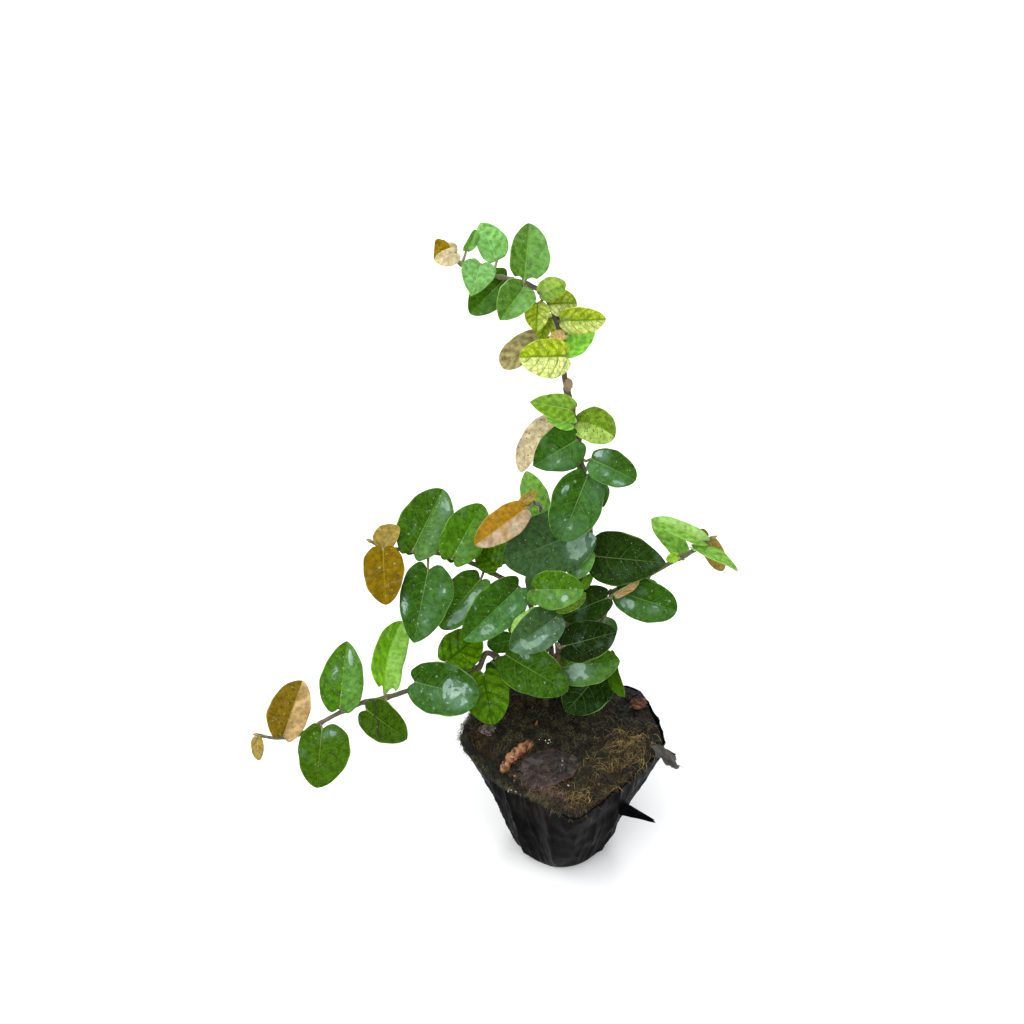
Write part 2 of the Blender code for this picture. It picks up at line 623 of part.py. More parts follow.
LITTER_LEAVES = {
    # middle pixel, length and width in mm, direction in degrees, curl across in degrees, colour
    "litter_copper_curl": ((517, 757), 13, 5.2, -54, 38, "bark"),
    "litter_dead_leaf": ((551, 772), 19, 16, -75, 4, "litter"),
    "litter_grey_leaf": ((486, 732), 6, 4, 60, 10, "litter"),
}


def make_litter_leaf(name, pixel, length, width, turn, curl, colour):
    """A fallen leaf that lies on the soil, a hair above it."""
    middle = seen_at_height(pixel, BAG_HEIGHT)
    turned = Matrix.Rotation(math.radians(turn), 3, "Z")
    bm = bmesh.new()
    bmesh.ops.create_grid(bm, x_segments=BLADE_CELLS, y_segments=BLADE_CELLS, size=1)
    for vert in bm.verts:
        along = row_place(vert.co.y)
        across = vert.co.x * half_width(along) * width * MM / 2
        spot = turned @ Vector((across, (along - 0.5) * length * MM, 0)) + middle
        rest = soil_top(spot.x, spot.y) + BLADE_THICKNESS / 2 + LITTER_GAP
        vert.co = (spot.x, spot.y, rest + abs(across) * math.tan(math.radians(curl)))
    bmesh.ops.remove_doubles(bm, verts=bm.verts, dist=WELD)
    bmesh.ops.triangulate(bm, faces=bm.faces)
    mesh = bpy.data.meshes.new(name)
    bm.to_mesh(mesh)
    bm.free()
    item = new_object(name, mesh, colour)
    thicken = item.modifiers.new("thickness", "SOLIDIFY")
    thicken.thickness = BLADE_THICKNESS
    thicken.offset = 0


def make_bark():
    """A reddish clump of bark that lies by the right edge of the soil."""
    middle = seen_at_height(BARK_PIXEL, BAG_HEIGHT)
    draw = random.Random(4)
    bm = bmesh.new()
    bmesh.ops.create_icosphere(bm, subdivisions=2, radius=BARK_RADIUS)
    for vert in bm.verts:
        vert.co *= 0.85 + 0.3 * draw.random()
        vert.co.z = max(vert.co.z, -0.5 * BARK_RADIUS) * 0.7
    low = min(vert.co.z for vert in bm.verts)
    seat = soil_top(middle.x, middle.y) + BARK_GAP - low
    bmesh.ops.translate(bm, verts=bm.verts, vec=Vector((middle.x, middle.y, seat)))
    mesh = bpy.data.meshes.new("litter_bark")
    bm.to_mesh(mesh)
    bm.free()
    new_object("litter_bark", mesh, "bark")


NODE_COLOURS = {"leader_yellow": "yellow", "leader_tip": "fresh"}


def main():
    make_bag()
    make_soil()
    for name, (stem, leaves) in LEAFY_STEMS.items():
        colour = NODE_COLOURS.get(name, "copper" if "copper" in name else "dark")
        make_leafy_stem(name, stem, leaves, colour)
    for name, (leaf, carrier_pixel) in DRY_LEAVES.items():
        make_dry_leaf(name, leaf, carrier_pixel)
    for name, values in LITTER_LEAVES.items():
        make_litter_leaf(name, *values)
    make_bark()


for old in list(bpy.data.objects):
    bpy.data.objects.remove(old)
PLANT = bpy.data.collections.new("creeping fig")
CUTTERS = bpy.data.collections.new("cutters")
bpy.context.scene.collection.children.link(PLANT)
bpy.context.scene.collection.children.link(CUTTERS)
main()
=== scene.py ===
import math
import random
from dataclasses import dataclass

import bmesh
import bpy
import numpy as np
from mathutils import Matrix, Vector, noise


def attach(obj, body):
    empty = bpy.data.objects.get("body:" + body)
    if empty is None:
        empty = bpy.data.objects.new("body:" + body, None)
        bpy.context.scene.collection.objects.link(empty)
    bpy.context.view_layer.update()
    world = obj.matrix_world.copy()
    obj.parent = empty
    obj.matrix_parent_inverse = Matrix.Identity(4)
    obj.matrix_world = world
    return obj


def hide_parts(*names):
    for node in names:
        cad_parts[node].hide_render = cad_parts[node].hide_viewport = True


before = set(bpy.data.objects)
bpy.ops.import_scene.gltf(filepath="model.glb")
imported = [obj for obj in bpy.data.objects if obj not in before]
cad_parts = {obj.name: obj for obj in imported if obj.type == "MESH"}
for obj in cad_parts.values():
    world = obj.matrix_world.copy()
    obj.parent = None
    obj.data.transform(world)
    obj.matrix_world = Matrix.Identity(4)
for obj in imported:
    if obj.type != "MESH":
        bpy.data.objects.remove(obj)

MM = 0.001
# Pattern units in a metre: the patterns on the surfaces are laid out in units of 10 mm
PATTERN_SCALE = 100
# Radians in a full turn, for random turns
TURN = 6.28
# Points of a piece that lie closer together than this become one
WELD = 0.002 * MM
# Random draws: each leafy stem has its own stretch of seeds, and the dry leaves follow after them
SEEDS_A_STEM = 100
DRY_LEAF_SEED = 2000

# The view
VIEW_ELEVATION = math.radians(39)
VIEW_DISTANCE = 0.6
PIXEL = 0.337 * MM
MIDDLE_PIXEL = (512, 512)
IMAGE_PIXELS = 1024
BAG_HEIGHT = 46 * MM
AIM = Vector((-0.0172, 0.0494, BAG_HEIGHT + 0.061))
RIGHT = Vector((1, 0, 0))
UP = Vector((0, math.sin(VIEW_ELEVATION), math.cos(VIEW_ELEVATION)))
TOWARDS = Vector((0, -math.cos(VIEW_ELEVATION), math.sin(VIEW_ELEVATION)))
SENSOR = 36

# The bag
FILM = 0.3 * MM
FILM_INSET = 0.2 * MM
RIM_WAVE = 0.7 * MM
RIM_WAVES = 4
RIM_WAVE_PHASE = 0.6
RIM_DIP = 6 * MM
RIM_DIP_ANGLE = math.radians(203)
RIM_DIP_SHARPNESS = 6
PLEAT_DEPTH = 0.9 * MM
# Pleats of the gathered film: strength, number around the bag, and phase in radians
PLEATS = [(0.6, 7, 0.4), (0.4, 11, 1.9)]
LEAST_GATHER = 0.15
BOTTOM_RADIUS = 14.5 * MM
# Flat stretches of the rim: direction in degrees, and distance from the middle in mm
FLATS = [(-43, 26.5), (16, 34.5), (90, 29), (159, 34.5), (225, 22.5)]
CORNER_SHARPNESS = 13
# The wall's height in mm, and its radius there as a share of the rim's
BAG_PROFILE = [(0, 0.42), (4, 0.49), (12, 0.61), (22, 0.73), (32, 0.84), (42, 0.97), (46, 1)]
BAG_AROUND = 300
BAG_LEVELS = 70
# Creases of the film: heights in mm of the long folds, the fine folds and the dents, the folds in a radian
# around the bag, how far down a long fold shifts by one, and the height above which the film hangs loose
FOLD_HEIGHT = 0.7
FINE_FOLD_HEIGHT = 0.35
DENT_HEIGHT = 0.5
FOLDS = 2.9
FINE_FOLDS = 6.3
FOLD_SHIFT = 60 * MM
DRIFT = 0.5
DRIFT_GRAIN = 14 * MM
DENTS_AROUND = 5
DENT_GRAIN = 6 * MM
LOOSE_HEIGHT = 5 * MM

# The soil
SOIL_MOUND = 2.5 * MM
SOIL_BELOW_RIM = 0.6 * MM
SOIL_ROUGHNESS = 1.2 * MM
SOIL_GRAIN = 9 * MM
SOIL_INSET = 0.8 * MM
SOIL_SIDE_INSET = 1.2 * MM
SOIL_SIDE_HEIGHTS = [3, 12, 22, 32, 42]
SOIL_AROUND = 300
SOIL_RINGS = 80
# The soil's skin: the level at which its noise is read, grain and height in mm of its crumbs and of its
# pits, and how far it stands above the plain mound in mm
SKIN_LEVEL = 0.013
SKIN_CRUMBS = [(2.6, 0.55), (1.1, 0.4)]
SKIN_PITS = (4.5, 0.8)
SKIN_LIFT = 0.25

# The blades' grid: cells each way, and how its rows crowd at the tip and its columns at the midrib
BLADE_ACROSS = 20
BLADE_ALONG = 32
TIP_CROWDING = 1.3
MIDRIB_CROWDING = 1.15

# The blades' outline: its swell and usual taper, how far and how suddenly the base draws in, and how the
# lobes curl round behind it
BLADE_SWELL = 1.25
USUAL_TAPER = 0.62
BASE_DRAWN_IN = 0.45
BASE_SUDDENNESS = 8
LOBE_CURL = 0.75
LOBE_FADE = 3
# Unevenness of the edge: share of the width, and radians of its wave along the blade
EDGE_WAVE = 0.02
EDGE_WAVE_RATE = 11
EDGE_RIPPLE = 0.012
EDGE_RIPPLE_RATE = 23

# The blades' relief
BLADE_THICKNESS = 0.34 * MM
EDGE_THINNING = 0.6
RIPPLE = 0.025
RIPPLE_RATE = 7
RIPPLE_SLANT = 2
GROOVE_DEPTH = 0.1 * MM
GROOVE_WIDTH = 0.35 * MM
RIB_DEPTH = 0.5 * MM
RIB_WIDTH = 0.3 * MM

# The side veins: pairs on a blade, how they sweep and curve towards the tip, where the first one leaves the
# midrib, and how far the blade swells between them, for a blade of the usual width in mm
VEIN_PAIRS = 5
VEIN_SWEEP = 0.24
VEIN_CURVE = 0.05
VEIN_START = 0.15
VEIN_RELIEF = 0.09 * MM
USUAL_WIDTH = 14

# Water drops: radii in mm, height as a share of the radius, and how deep they sit in the blade
DROP_RADII = [0.15, 0.2, 0.25, 0.3, 0.45]
DROP_HEIGHT = 0.55
DROP_SINK = 0.02 * MM
DROP_RINGS = 4
DROP_SIDES = 10

# The leaf stalks: how far they sag and taper, the thicker foot, and where they run on under the blade, as a
# share of its length and mm below it
PETIOLE_RADIUS = 0.5 * MM
PETIOLE_STEP = 0.5 * MM
PETIOLE_SIDES = 8
PETIOLE_SAG = 0.12
PETIOLE_TAPER = 0.35
PETIOLE_FOOT = 0.12
PETIOLE_FOOT_SWELL = 1.25
PETIOLE_CLOSING = 0.05
PETIOLE_RIB = [(0.04, 0.2), (0.16, 0.25)]
DRY_STALK_AGE = 0.2

# The stems
STEM_DEPTH = 9 * MM
STEM_STEP = 0.7 * MM
STEM_SIDES = 12
STEM_FOOT_RADIUS = 1.15 * MM
STEM_TIP_RADIUS = 0.65 * MM
LEADER_FOOT_RADIUS = 1.5 * MM
LEADER_TOP_RADIUS = 0.9 * MM
# How much a stem swells where a leaf joins it, and how far along
NODE_SWELL = 0.35
NODE_REACH = 0.9 * MM
# How rough old bark is, and how its roughness runs around, along and through the stem
BARK_ROUGHNESS = 0.16
BARK_GRAIN = (0.9, 0.35, 900)
# What is left of the radius at a stem's end point and at the point next to it
STEM_CLOSING = {0: 0.02, 1: 0.85}

# The bud at a growing tip: how many mm before it the bud starts, the step between its points in mm, its
# sides, and its radii as shares of the stem's
BUD_START = 0.6
BUD_STEP = 0.35
BUD_SIDES = 8
BUD_SWELL = 1.1
BUD_SHAPE = [0.3, 0.9, 1.15, 1.2, 1.05, 0.8, 0.55, 0.3, 0.03]
# A knob's size to the right, upwards and towards the viewer, and its tone
KNOB_SHAPE = (0.8, 1.2, 0.9)
KNOB_TONE = 0.4


@dataclass
class Leaf:
    """A leaf: the pixels of its blade's base and tip, how the blade is held, and its tone."""
    name: str
    base: tuple
    tip: tuple
    near: tuple          # mm towards the viewer, at the base and at the tip
    width: float         # mm across the blade
    tone: str
    roll: float = 0      # degrees that the blade turns about its midrib
    fold: float = 10     # degrees that each half rises from the midrib
    arch: float = 0.06   # share of the length by which the middle bows out
    taper: float = USUAL_TAPER  # how early the blade narrows to its tip
    lobe: float = 0.09   # share of the length by which the base lobes reach back
    bend: float = 0      # share of the length by which the midrib bows to one side
    skew: float = 0      # how much wider one half is than the other
    drops: int = 0       # water drops on the upper face
    pale: float = 0      # painted sheen: how much paler one half is, as if it caught the light; the sign tells which half
    light: float = 1     # how light the leaf is beside others of its tone, partly its own tone and partly painted light and shade


@dataclass
class Stem:
    """A stem: where it stands in the soil in mm, if it does, and the points it passes."""
    root: tuple          # x and y in mm, or None for a stretch further up
    route: list          # pixel across, pixel down, mm towards the viewer
    radii: tuple         # at the first and the last point
    age: tuple           # 0 is old bark and 1 is green, at the first and the last point


def seen(pixel, near):
    """The point that shows at a pixel of the photograph, so far towards the viewer."""
    across = (pixel[0] - MIDDLE_PIXEL[0]) * PIXEL
    up = (MIDDLE_PIXEL[1] - pixel[1]) * PIXEL
    shrink = 1 - near * MM / VIEW_DISTANCE
    return AIM + (RIGHT * across + UP * up) * shrink + TOWARDS * near * MM


def seen_at_height(pixel, height):
    """The point at a height that shows at a pixel of the photograph."""
    up = (MIDDLE_PIXEL[1] - pixel[1]) * PIXEL
    rise = up * math.cos(VIEW_ELEVATION)
    near = (height - AIM.z - rise) / (math.sin(VIEW_ELEVATION) - rise / VIEW_DISTANCE)
    return seen(pixel, near / MM)


# Plant

LEADER_LOWER = Stem((0.5, 20.5), [
    (560, 680, -6), (563, 650, 6), (574, 600, 20), (586, 560, 28), (589, 530, 33), (588, 505, 38),
    (584, 480, 42), (580, 460, 44.5), (577, 437, 46), (571, 408, 48), (566, 386, 49)],
    (LEADER_FOOT_RADIUS, LEADER_TOP_RADIUS * 1.25), (0, 0.1))
LEADER_YELLOW = Stem(None, [
    (566, 386, 49), (564, 372, 50), (562, 350, 52), (558, 325, 54), (550, 303, 56), (538, 289, 57)],
    (LEADER_TOP_RADIUS, LEADER_TOP_RADIUS * 0.9), (0.1, 0.5))
LEADER_TIP = Stem(None, [
    (538, 289, 57), (524, 283, 57), (505, 278, 55), (485, 274, 52), (468, 268, 50), (457, 261, 49)],
    (LEADER_TOP_RADIUS * 0.9, STEM_TIP_RADIUS), (0.5, 0.9))
LEADER_COPPER_TIP = Stem(None, [(457, 261, 49), (454.5, 257.5, 49), (452, 254.5, 49.5)],
                         (STEM_TIP_RADIUS, STEM_TIP_RADIUS * 0.8), (0.6, 0.7))
UPPER_LEFT = Stem((-8, 20.8), [
    (540, 660, -2), (535, 625, 8), (528, 599, 12), (514, 585, 14), (500, 577, 15), (478, 566, 17),
    (455, 557, 19), (430, 552, 20), (410, 550, 21), (393, 549, 22)],
    (STEM_FOOT_RADIUS, STEM_TIP_RADIUS), (0, 0.5))
UPPER_LEFT_COPPER_TIP = Stem(None, [(393, 549, 22), (380, 546, 23), (371, 541.5, 24)],
                             (STEM_TIP_RADIUS, STEM_TIP_RADIUS * 0.8), (0.5, 0.6))
LOWER_LEFT = Stem((-13, 20), [
    (525, 680, -2), (505, 663, 6), (487, 653, 9), (478, 668, 10), (455, 682, 11), (430, 688, 12),
    (411, 690, 12), (395, 695, 12), (380, 699, 12), (362, 703, 12), (335, 715, 11), (305, 732, 10),
    (290, 737, 9.3)],
    (STEM_FOOT_RADIUS, STEM_TIP_RADIUS), (0, 0.5))
LOWER_LEFT_COPPER_TIP = Stem(None, [(290, 737, 9.3), (274, 738, 8.3), (258, 735, 7)],
                             (STEM_TIP_RADIUS, STEM_TIP_RADIUS * 0.8), (0.4, 0.5))
RIGHT_SPRAY = Stem((7.5, 20.5), [
    (590, 670, 0), (598, 635, 12), (606, 610, 18), (614, 592, 22), (628, 586, 24), (642, 579, 25),
    (656, 571, 26), (670, 563, 27), (684, 556, 28), (694, 550, 28), (702, 543, 28)],
    (STEM_FOOT_RADIUS, STEM_TIP_RADIUS), (0, 0.7))
RIGHT_COPPER_TIP = Stem(None, [(702, 543, 28), (707, 540, 28), (712, 538, 28)],
                        (STEM_TIP_RADIUS, STEM_TIP_RADIUS * 0.8), (0.6, 0.7))
CENTRE_SHOOT = Stem((-3, 21.8), [
    (552, 660, -5), (548, 620, 5), (543, 580, 12), (541, 545, 17), (541, 514, 26)],
    (STEM_FOOT_RADIUS, STEM_TIP_RADIUS), (0, 0.5))
CENTRE_COPPER = Stem(None, [(541, 514, 26), (540, 505, 32), (533, 503, 39)],
                     (STEM_TIP_RADIUS, STEM_TIP_RADIUS), (0.5, 0.6))
FRONT_SHOOT = Stem((-5.5, 17.5), [
    (540, 670, 2), (548, 645, 16), (550, 625, 26), (548, 608, 32), (545, 596, 36)],
    (STEM_FOOT_RADIUS, STEM_TIP_RADIUS), (0.1, 1))
LOW_RIGHT_SHOOT = Stem((4.5, 16.5), [
    (568, 680, -5), (562, 665, 8), (558, 655, 14), (557, 644, 22)],
    (STEM_FOOT_RADIUS, STEM_TIP_RADIUS), (0, 0.4))

LEADER_LOWER_LEAVES = [
    Leaf("folded_light", (572, 410), (530, 402), (51, 54), 8.6, "lime", fold=28, taper=0.78, pale=0.2,
         light=0.95),
    Leaf("small_behind_folded", (573, 424), (545, 411), (49.8, 49), 6.5, "dotted", light=1.5),
    Leaf("spotted", (578, 422), (615, 437), (48, 51), 11.2, "spotted", taper=0.5, bend=-0.08, pale=0.9),
    Leaf("heart", (577, 440), (533, 466), (49, 47), 15, "dark", fold=6, taper=0.85, pale=-0.45),
    Leaf("glossy_right", (591, 459), (636, 480), (53, 59), 11, "dark", taper=0.5, lobe=0.02, drops=8,
         pale=0.7),
    Leaf("long_hanging", (587, 477), (561, 541), (50, 45), 16.3, "dark", taper=0.6, drops=8, pale=-0.4),
    Leaf("bluish_wide", (585, 530), (504, 562), (38, 34), 21, "dull", drops=10),
    Leaf("deep_right", (594, 556), (666, 563), (32, 35), 18.3, "deep", taper=0.85, drops=6),
    Leaf("bright_small", (568, 572), (594, 552), (34, 38), 8.5, "mid", drops=8, pale=0.9, light=0.9),
    Leaf("tiny_bright", (583, 588), (592, 573), (28, 28), 3, "bright"),
    Leaf("back_high", (597, 506), (586, 474), (34, 17), 11, "dark"),
    Leaf("back_heart", (572, 446), (556, 450), (41, 27), 10, "dark"),
    Leaf("back_right", (590, 566), (610, 550), (22, 5), 10, "mid"),
    Leaf("back_low", (577, 602), (571, 574), (13, -6), 11, "dark"),
]
LEADER_YELLOW_LEAVES = [
    Leaf("yellow_top", (541, 293), (566, 283), (59.6, 61), 7.3, "yellow_green", lobe=0.12, pale=-0.6,
         light=0.8),
    Leaf("yellow_behind", (549, 304), (577, 303), (57.5, 52), 8.5, "yellow", pale=0.8, light=0.75),
    Leaf("yellow_left", (537.5, 303.5), (536, 331), (58, 61), 7.8, "yellow", pale=-0.3, light=0.85),
    Leaf("yellow_dark", (547, 319), (541, 341), (54, 55), 5.5, "yellow", roll=20, light=0.65),
    Leaf("yellow_right", (563, 320), (606, 319), (58, 61), 8.8, "yellow", roll=20, pale=0.5, light=0.8),
    Leaf("green_under_yellow", (566, 353), (593, 327), (53, 49), 7.5, "leafy", light=2.6),
    Leaf("yellow_large", (566, 356), (519, 357), (59, 63), 12.4, "yellow", taper=0.6, skew=-0.12,
         pale=-0.9, light=0.85),
    Leaf("yellow_back", (561, 335), (558, 311), (49, 35), 8, "yellow", light=0.75),
]
LEADER_TIP_LEAVES = [
    Leaf("erect", (524, 282), (529, 223), (61.5, 55), 12.8, "leafy", roll=8, taper=0.7, lobe=-0.08,
         skew=0.14, drops=6, pale=0.5, light=0.72),
    Leaf("dark_behind", (507, 277), (470, 314), (51, 53), 11.6, "mid", pale=-0.3, light=0.8),
    Leaf("folded_front", (524, 288), (500, 320), (62, 67), 11, "leafy", fold=32, lobe=0.05, pale=-0.4,
         light=0.82),
    Leaf("heart_small", (481, 264), (471.5, 295.5), (58, 67), 11, "fresh", taper=0.8),
    Leaf("pale_high", (497, 260), (480, 223), (52, 45), 10, "fresh", taper=0.8, lobe=0.02, skew=0.15,
         light=1.15),
    Leaf("rolled_young", (466.5, 249.5), (475.5, 229.5), (52.5, 55), 6, "leafy", roll=58, pale=0.5,
         light=1.4),
]
LEADER_COPPER_LEAVES = [
    Leaf("copper_folded", (456, 252.5), (434.5, 261), (54.5, 56), 5.6, "straw", fold=18, lobe=0.12,
         skew=-0.3),
    Leaf("copper_sliver", (456, 248), (445, 245), (49, 49), 3, "straw", roll=30),
    Leaf("copper_fan", (450, 251), (434, 250), (50.5, 50), 6.9, "gold", taper=0.2, lobe=0, light=1.3),
]
UPPER_LEFT_LEAVES = [
    Leaf("far_left", (413, 550), (443, 489), (23, 18), 17.3, "mid", lobe=0.12, drops=24, pale=0.7,
         light=0.68),
    Leaf("left_of_middle", (453, 557), (482, 504), (25, 22), 14.6, "mid", drops=12, lobe=0.12, pale=0.15),
    Leaf("hanging_left", (428, 570), (414, 643), (25, 31), 17.5, "dark", taper=0.74, skew=-0.13,
         drops=14, pale=-0.35),
    Leaf("hanging_middle", (480, 580), (441, 629), (18, 20), 15, "mid", roll=20, drops=24, pale=-0.4,
         light=0.85),
    Leaf("hanging_right", (518, 588), (463, 640), (21, 29), 15, "dark", drops=24, pale=-1, light=1.15),
    Leaf("dark_between", (497, 568), (478, 548), (20, 17), 9, "mottled"),
    Leaf("back_middle", (457, 560), (462, 522), (15, -3), 12, "dark"),
    Leaf("back_left", (415, 553), (425, 517), (17, -1), 12, "mid"),
    Leaf("back_foot", (532, 636), (514, 616), (1, -14), 10, "dark"),
]
UPPER_LEFT_COPPER_LEAVES = [
    Leaf("copper_up", (383, 550), (399, 526), (26, 25), 7.8, "golden_tan", fold=16, lobe=0.03, skew=-0.43),
    Leaf("olive_gold", (383, 549), (386, 605), (29, 34), 13.4, "gold", lobe=0.05, drops=10),
]
LOWER_LEFT_LEAVES = [
    Leaf("under_middle", (446, 662), (480, 634), (14, 9), 14, "mottled", drops=6, light=1.25),
    Leaf("shining", (415, 682), (479, 697), (17, 22), 17.5, "dark", taper=0.5, drops=30, pale=0.6,
         light=0.9),
    Leaf("veined_hanging", (483, 674), (493, 725), (13, 18), 15.5, "mottled", drops=8, light=0.95),
    Leaf("bright_narrow", (385, 696), (402, 621), (17, 12), 12.5, "bright", roll=30, taper=0.5,
         lobe=-0.12, bend=-0.12, drops=14, pale=0.6, light=1.3),
    Leaf("olive_hanging", (367, 710), (407, 739), (14.5, 23), 13, "olive", light=0.75),
    Leaf("pale_high", (340, 707), (347, 641), (14, 9), 15, "mid", taper=0.76, drops=18, pale=0.4),
    Leaf("olive_low", (322, 729), (317, 788), (13, 20), 17.5, "olive", skew=-0.18, drops=6),
    Leaf("front_dark", (506, 655), (568, 691), (14, 24), 16.5, "mid", drops=16, light=0.62),
    Leaf("centre_small", (512, 640), (487, 645), (4, 3), 7.5, "dark", light=1.5),
    Leaf("back_root", (468, 675), (455, 648), (7, -8), 10, "dark"),
    Leaf("back_low", (492, 662), (510, 682), (2, -12), 10, "dark"),
    Leaf("back_middle", (430, 690), (440, 670), (8, -12), 10, "mid"),
    Leaf("back_far", (345, 706), (345, 674), (7, -9), 10, "mid"),
]
LOWER_LEFT_COPPER_LEAVES = [
    Leaf("copper_up", (284, 735), (302.5, 680.5), (12, 8), 13.7, "copper", fold=22, lobe=0.1,
         skew=-0.1, drops=8, pale=0.8),
    Leaf("tan_small", (257, 738), (259, 760.6), (10, 12), 4.4, "golden_tan"),
]
RIGHT_LEAVES = [
    Leaf("dark_hanging", (620, 592), (677, 611), (27, 32), 13.5, "dark", taper=0.5, drops=12, pale=0.3),
    Leaf("deep_left", (607, 598), (563, 618), (28, 24), 12, "deep", roll=20),
    Leaf("bract", (678, 556), (666, 560), (30, 31), 3.4, "lime", light=1.5),
    Leaf("light_behind", (684, 555), (652, 520), (24, 20), 7.2, "dotted", roll=15, light=1.35),
    Leaf("light_spotted", (704, 541), (651, 519), (32, 31), 6.4, "dotted", roll=25, pale=0.5, light=1.1),
    Leaf("light_right", (694, 548), (738, 571), (31, 34), 7.5, "dotted", roll=-62, light=1.05),
    Leaf("low_dark", (600, 672), (566, 712), (6, 13), 17, "dark", light=0.28),
    Leaf("low_olive", (611, 655), (624, 697), (11, 15), 9, "olive", roll=58, light=1.4),
    Leaf("back_high", (628, 586), (640, 552), (18, -2), 12, "dark"),
    Leaf("back_low", (641, 584), (652, 602), (21, 6), 10, "mid"),
    Leaf("back_foot", (600, 640), (605, 616), (4, -13), 10, "dark"),
]
RIGHT_COPPER_LEAVES = [
    Leaf("copper_bud", (706, 538), (700, 529), (30, 29), 3, "copper"),
    Leaf("copper_hanging", (709, 540), (723, 571), (26, 25), 6.6, "golden_tan", skew=0.1, light=0.9),
]
CENTRE_LEAVES = [
    Leaf("dotted_high", (540, 514), (526, 471), (22, 19), 9.5, "dotted", taper=0.76, drops=4),
    Leaf("behind_wide", (524, 548), (484, 560), (14, 9), 11, "mid", roll=35),
    Leaf("back_high", (544, 600), (536, 568), (4, -14), 10, "dark"),
    Leaf("back_low", (550, 632), (552, 606), (-3, -20), 11, "dark"),
]
CENTRE_COPPER_LEAVES = [
    Leaf("copper_old", (526, 508), (475, 545), (45, 42), 10.5, "old_copper", lobe=0.02, pale=-0.8),
    Leaf("olive_small", (521, 503), (537, 492), (41, 41), 3.6, "golden_tan"),
]
FRONT_LEAVES = [
    Leaf("bright_front", (536, 590), (584, 589), (44, 49), 12.5, "mid", drops=12, pale=0.6, light=0.9),
    Leaf("lime_under", (557, 608), (586, 593), (42, 43), 6.5, "lime", roll=32, light=0.5),
    Leaf("fresh_left", (538, 603), (530, 590), (34, 33), 5, "mid", pale=-0.4),
    Leaf("lime_folded", (540, 612), (511, 633), (36, 35), 7, "lime", roll=52, pale=0.6),
    Leaf("grey_green", (556, 617), (510, 650), (38, 45), 13, "dull", drops=14, pale=-0.6),
]
LOW_RIGHT_LEAVES = [
    Leaf("deep_right", (564, 646), (616, 632), (29, 33), 13.5, "deep", light=0.5),
    Leaf("glossy_low", (563, 667), (620, 661), (15, 24), 14, "mid", drops=12, pale=0.6, light=0.75),
    Leaf("back_small", (575, 664), (585, 645), (1, -12), 8, "dark"),
]

LEAFY_STEMS = {
    "leader_lower": (LEADER_LOWER, LEADER_LOWER_LEAVES, "leaf_green"),
    "leader_yellow": (LEADER_YELLOW, LEADER_YELLOW_LEAVES, "leaf_yellow"),
    "leader_tip": (LEADER_TIP, LEADER_TIP_LEAVES, "leaf_fresh"),
    "leader_copper_tip": (LEADER_COPPER_TIP, LEADER_COPPER_LEAVES, "leaf_copper"),
    "upper_left_spray": (UPPER_LEFT, UPPER_LEFT_LEAVES, "leaf_green"),
    "upper_left_copper_tip": (UPPER_LEFT_COPPER_TIP, UPPER_LEFT_COPPER_LEAVES, "leaf_copper"),
    "lower_left_spray": (LOWER_LEFT, LOWER_LEFT_LEAVES, "leaf_green"),
    "lower_left_copper_tip": (LOWER_LEFT_COPPER_TIP, LOWER_LEFT_COPPER_LEAVES, "leaf_copper"),
    "right_spray": (RIGHT_SPRAY, RIGHT_LEAVES, "leaf_green"),
    "right_copper_tip": (RIGHT_COPPER_TIP, RIGHT_COPPER_LEAVES, "leaf_copper"),
    "centre_shoot": (CENTRE_SHOOT, CENTRE_LEAVES, "leaf_green"),
    "centre_copper_tip": (CENTRE_COPPER, CENTRE_COPPER_LEAVES, "leaf_copper"),
    "front_shoot": (FRONT_SHOOT, FRONT_LEAVES, "leaf_green"),
    "low_right_shoot": (LOW_RIGHT_SHOOT, LOW_RIGHT_LEAVES, "leaf_green"),
}
# Dry leaves on the leader, each with the point of the leader that carries it
DRY_LEAVES = {
    "dry_leaf_tan": (Leaf("tan", (543, 337), (501, 366), (50, 47), 9.7, "olive_tan", roll=20, taper=0.45),
                     (559, 333, 54)),
    "dry_leaf_sliver": (Leaf("sliver", (566, 334), (549, 338), (56, 56), 3.5, "tan", light=1.6),
                        (561, 341, 53)),
    "dry_leaf_beige": (Leaf("beige", (550, 421), (520, 472), (40, 36), 8.5, "beige", roll=20, bend=0.06,
                            light=1.15),
                       (577, 434, 46)),
}
